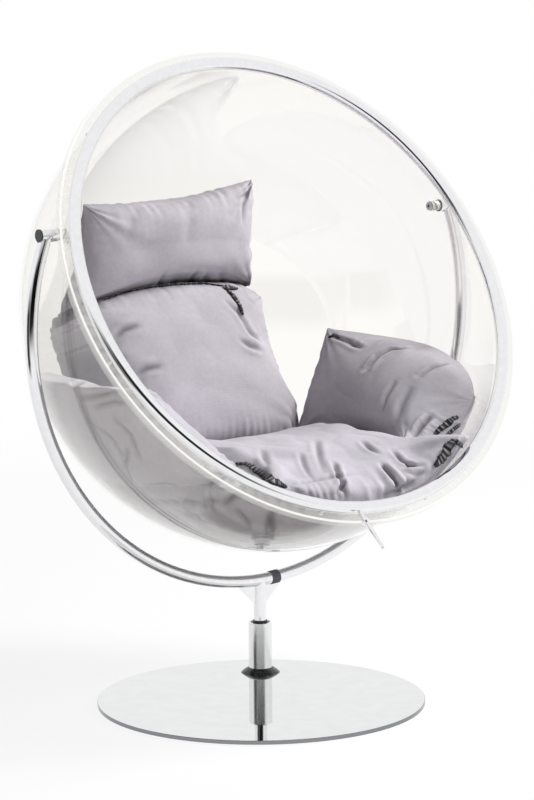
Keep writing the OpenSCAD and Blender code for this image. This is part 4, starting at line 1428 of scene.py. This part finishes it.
def lay(name, paths, sizes_mm, surface, body):
    """Lays bodies of pitch, length and thickness sizes_mm along closed lists of points."""
    points = np.concatenate(paths)
    edges = []
    start = 0
    for path in paths:
        edges += [(start + i, start + i + 1) for i in range(len(path) - 1)]
        edges += [(start + len(path) - 1, start)]
        start += len(path)
    mesh = bpy.data.meshes.new(name)
    mesh.from_pydata([tuple(p) for p in points], edges, [])
    piece = bpy.data.objects.new(name, mesh)
    bpy.context.collection.objects.link(piece)
    step = piece.modifiers.new("along", "NODES")
    step.node_group = ALONG
    pitch, length, thickness = (size / 1000 for size in sizes_mm)
    values = {"Pitch": pitch, "Length": length, "Thickness": thickness, "Surface": surface}
    for item in ALONG.interface.items_tree:
        if item.in_out == "INPUT" and item.name in values:
            step[item.identifier] = values[item.name]
    seen = piece.evaluated_get(bpy.context.evaluated_depsgraph_get())
    piece_mesh = bpy.data.meshes.new_from_object(seen)
    piece.modifiers.remove(step)
    piece.data = piece_mesh
    bpy.data.meshes.remove(mesh)
    piece_mesh.name = name
    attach(piece, body)
    return len(piece_mesh.polygons)


ON_EDGE, ON_SEAM = 0.995, 0.02
STITCH_MM = (5.0, 3.8, 1.0)


def seam_path(name, steps=160):
    """The closed line where a cover's two panels meet."""
    u, v, side = pattern_place[name].T
    on = np.flatnonzero((np.maximum(np.abs(u), np.abs(v)) > ON_EDGE) & (np.abs(side) < ON_SEAM))
    at = points_of(covers[name])[on]
    turn = np.arctan2(v[on], u[on])
    order = np.argsort(turn)
    turn, at = turn[order], at[order]
    cuts = np.linspace(-math.pi, math.pi, steps, endpoint=False)
    return np.stack([np.interp(cuts, turn, at[:, axis], period=2 * math.pi) for axis in range(3)], 1)


THREAD = woven("lilac_thread", "#8F8B94", "#86828B", "#9A96A0")
for name in covers:
    count = lay(name + "_seam", [seam_path(name)], STITCH_MM, THREAD, "bubble")
    print(name, "stitches:", count, "faces")

# %% [markdown]
# The yoke's tube ends where it runs into a hub, which is a tube across it.
# The weld follows the line where the two round surfaces meet.

# %% Welds on the yoke
HUB_R, TUBE_R = 0.0127, 0.0127
HUB_AT = np.array((0.498, 0, 0.942))
YOKE_MIDDLE_Z = 0.744
HUB_LEAN = math.atan2(HUB_AT[2] - YOKE_MIDDLE_Z, HUB_AT[0])
DROP_MM = (1.6, 2.6, 2.2)
SADDLE_POINTS = 48


def saddle(sign):
    """The line where the yoke's tube runs into a hub."""
    turn = np.linspace(0, 2 * math.pi, SADDLE_POINTS, endpoint=False)
    ahead = np.array((-math.sin(HUB_LEAN) * sign, 0, math.cos(HUB_LEAN)))
    wide = np.array((math.cos(HUB_LEAN) * sign, 0, math.sin(HUB_LEAN)))
    cross = np.array((0.0, 1.0, 0.0))
    spots = []
    for t in turn:
        off = wide * math.cos(t) * TUBE_R + cross * math.sin(t) * TUBE_R
        # back along the tube until the hub's round side is met
        reach = math.sqrt(max(HUB_R ** 2 - off[1] ** 2, 0))
        spots.append(HUB_AT * np.array((sign, 1, 1)) + off - ahead * (reach + off[2]) / ahead[2])
    return np.array(spots)


count = lay("hub_welds", [saddle(1), saddle(-1)], DROP_MM, SATIN, "yoke")
print("weld drops:", count, "faces")

# %% [markdown]
# The covers take the place of the smooth CAD cushions and ride on the bubble.
# They are stuffed.

for name, cover in covers.items():
    cover.data.materials.clear()
    cover.data.materials.append(FABRIC)
    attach(cover, "bubble")
    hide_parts(name)
print("cushions ride on the bubble")
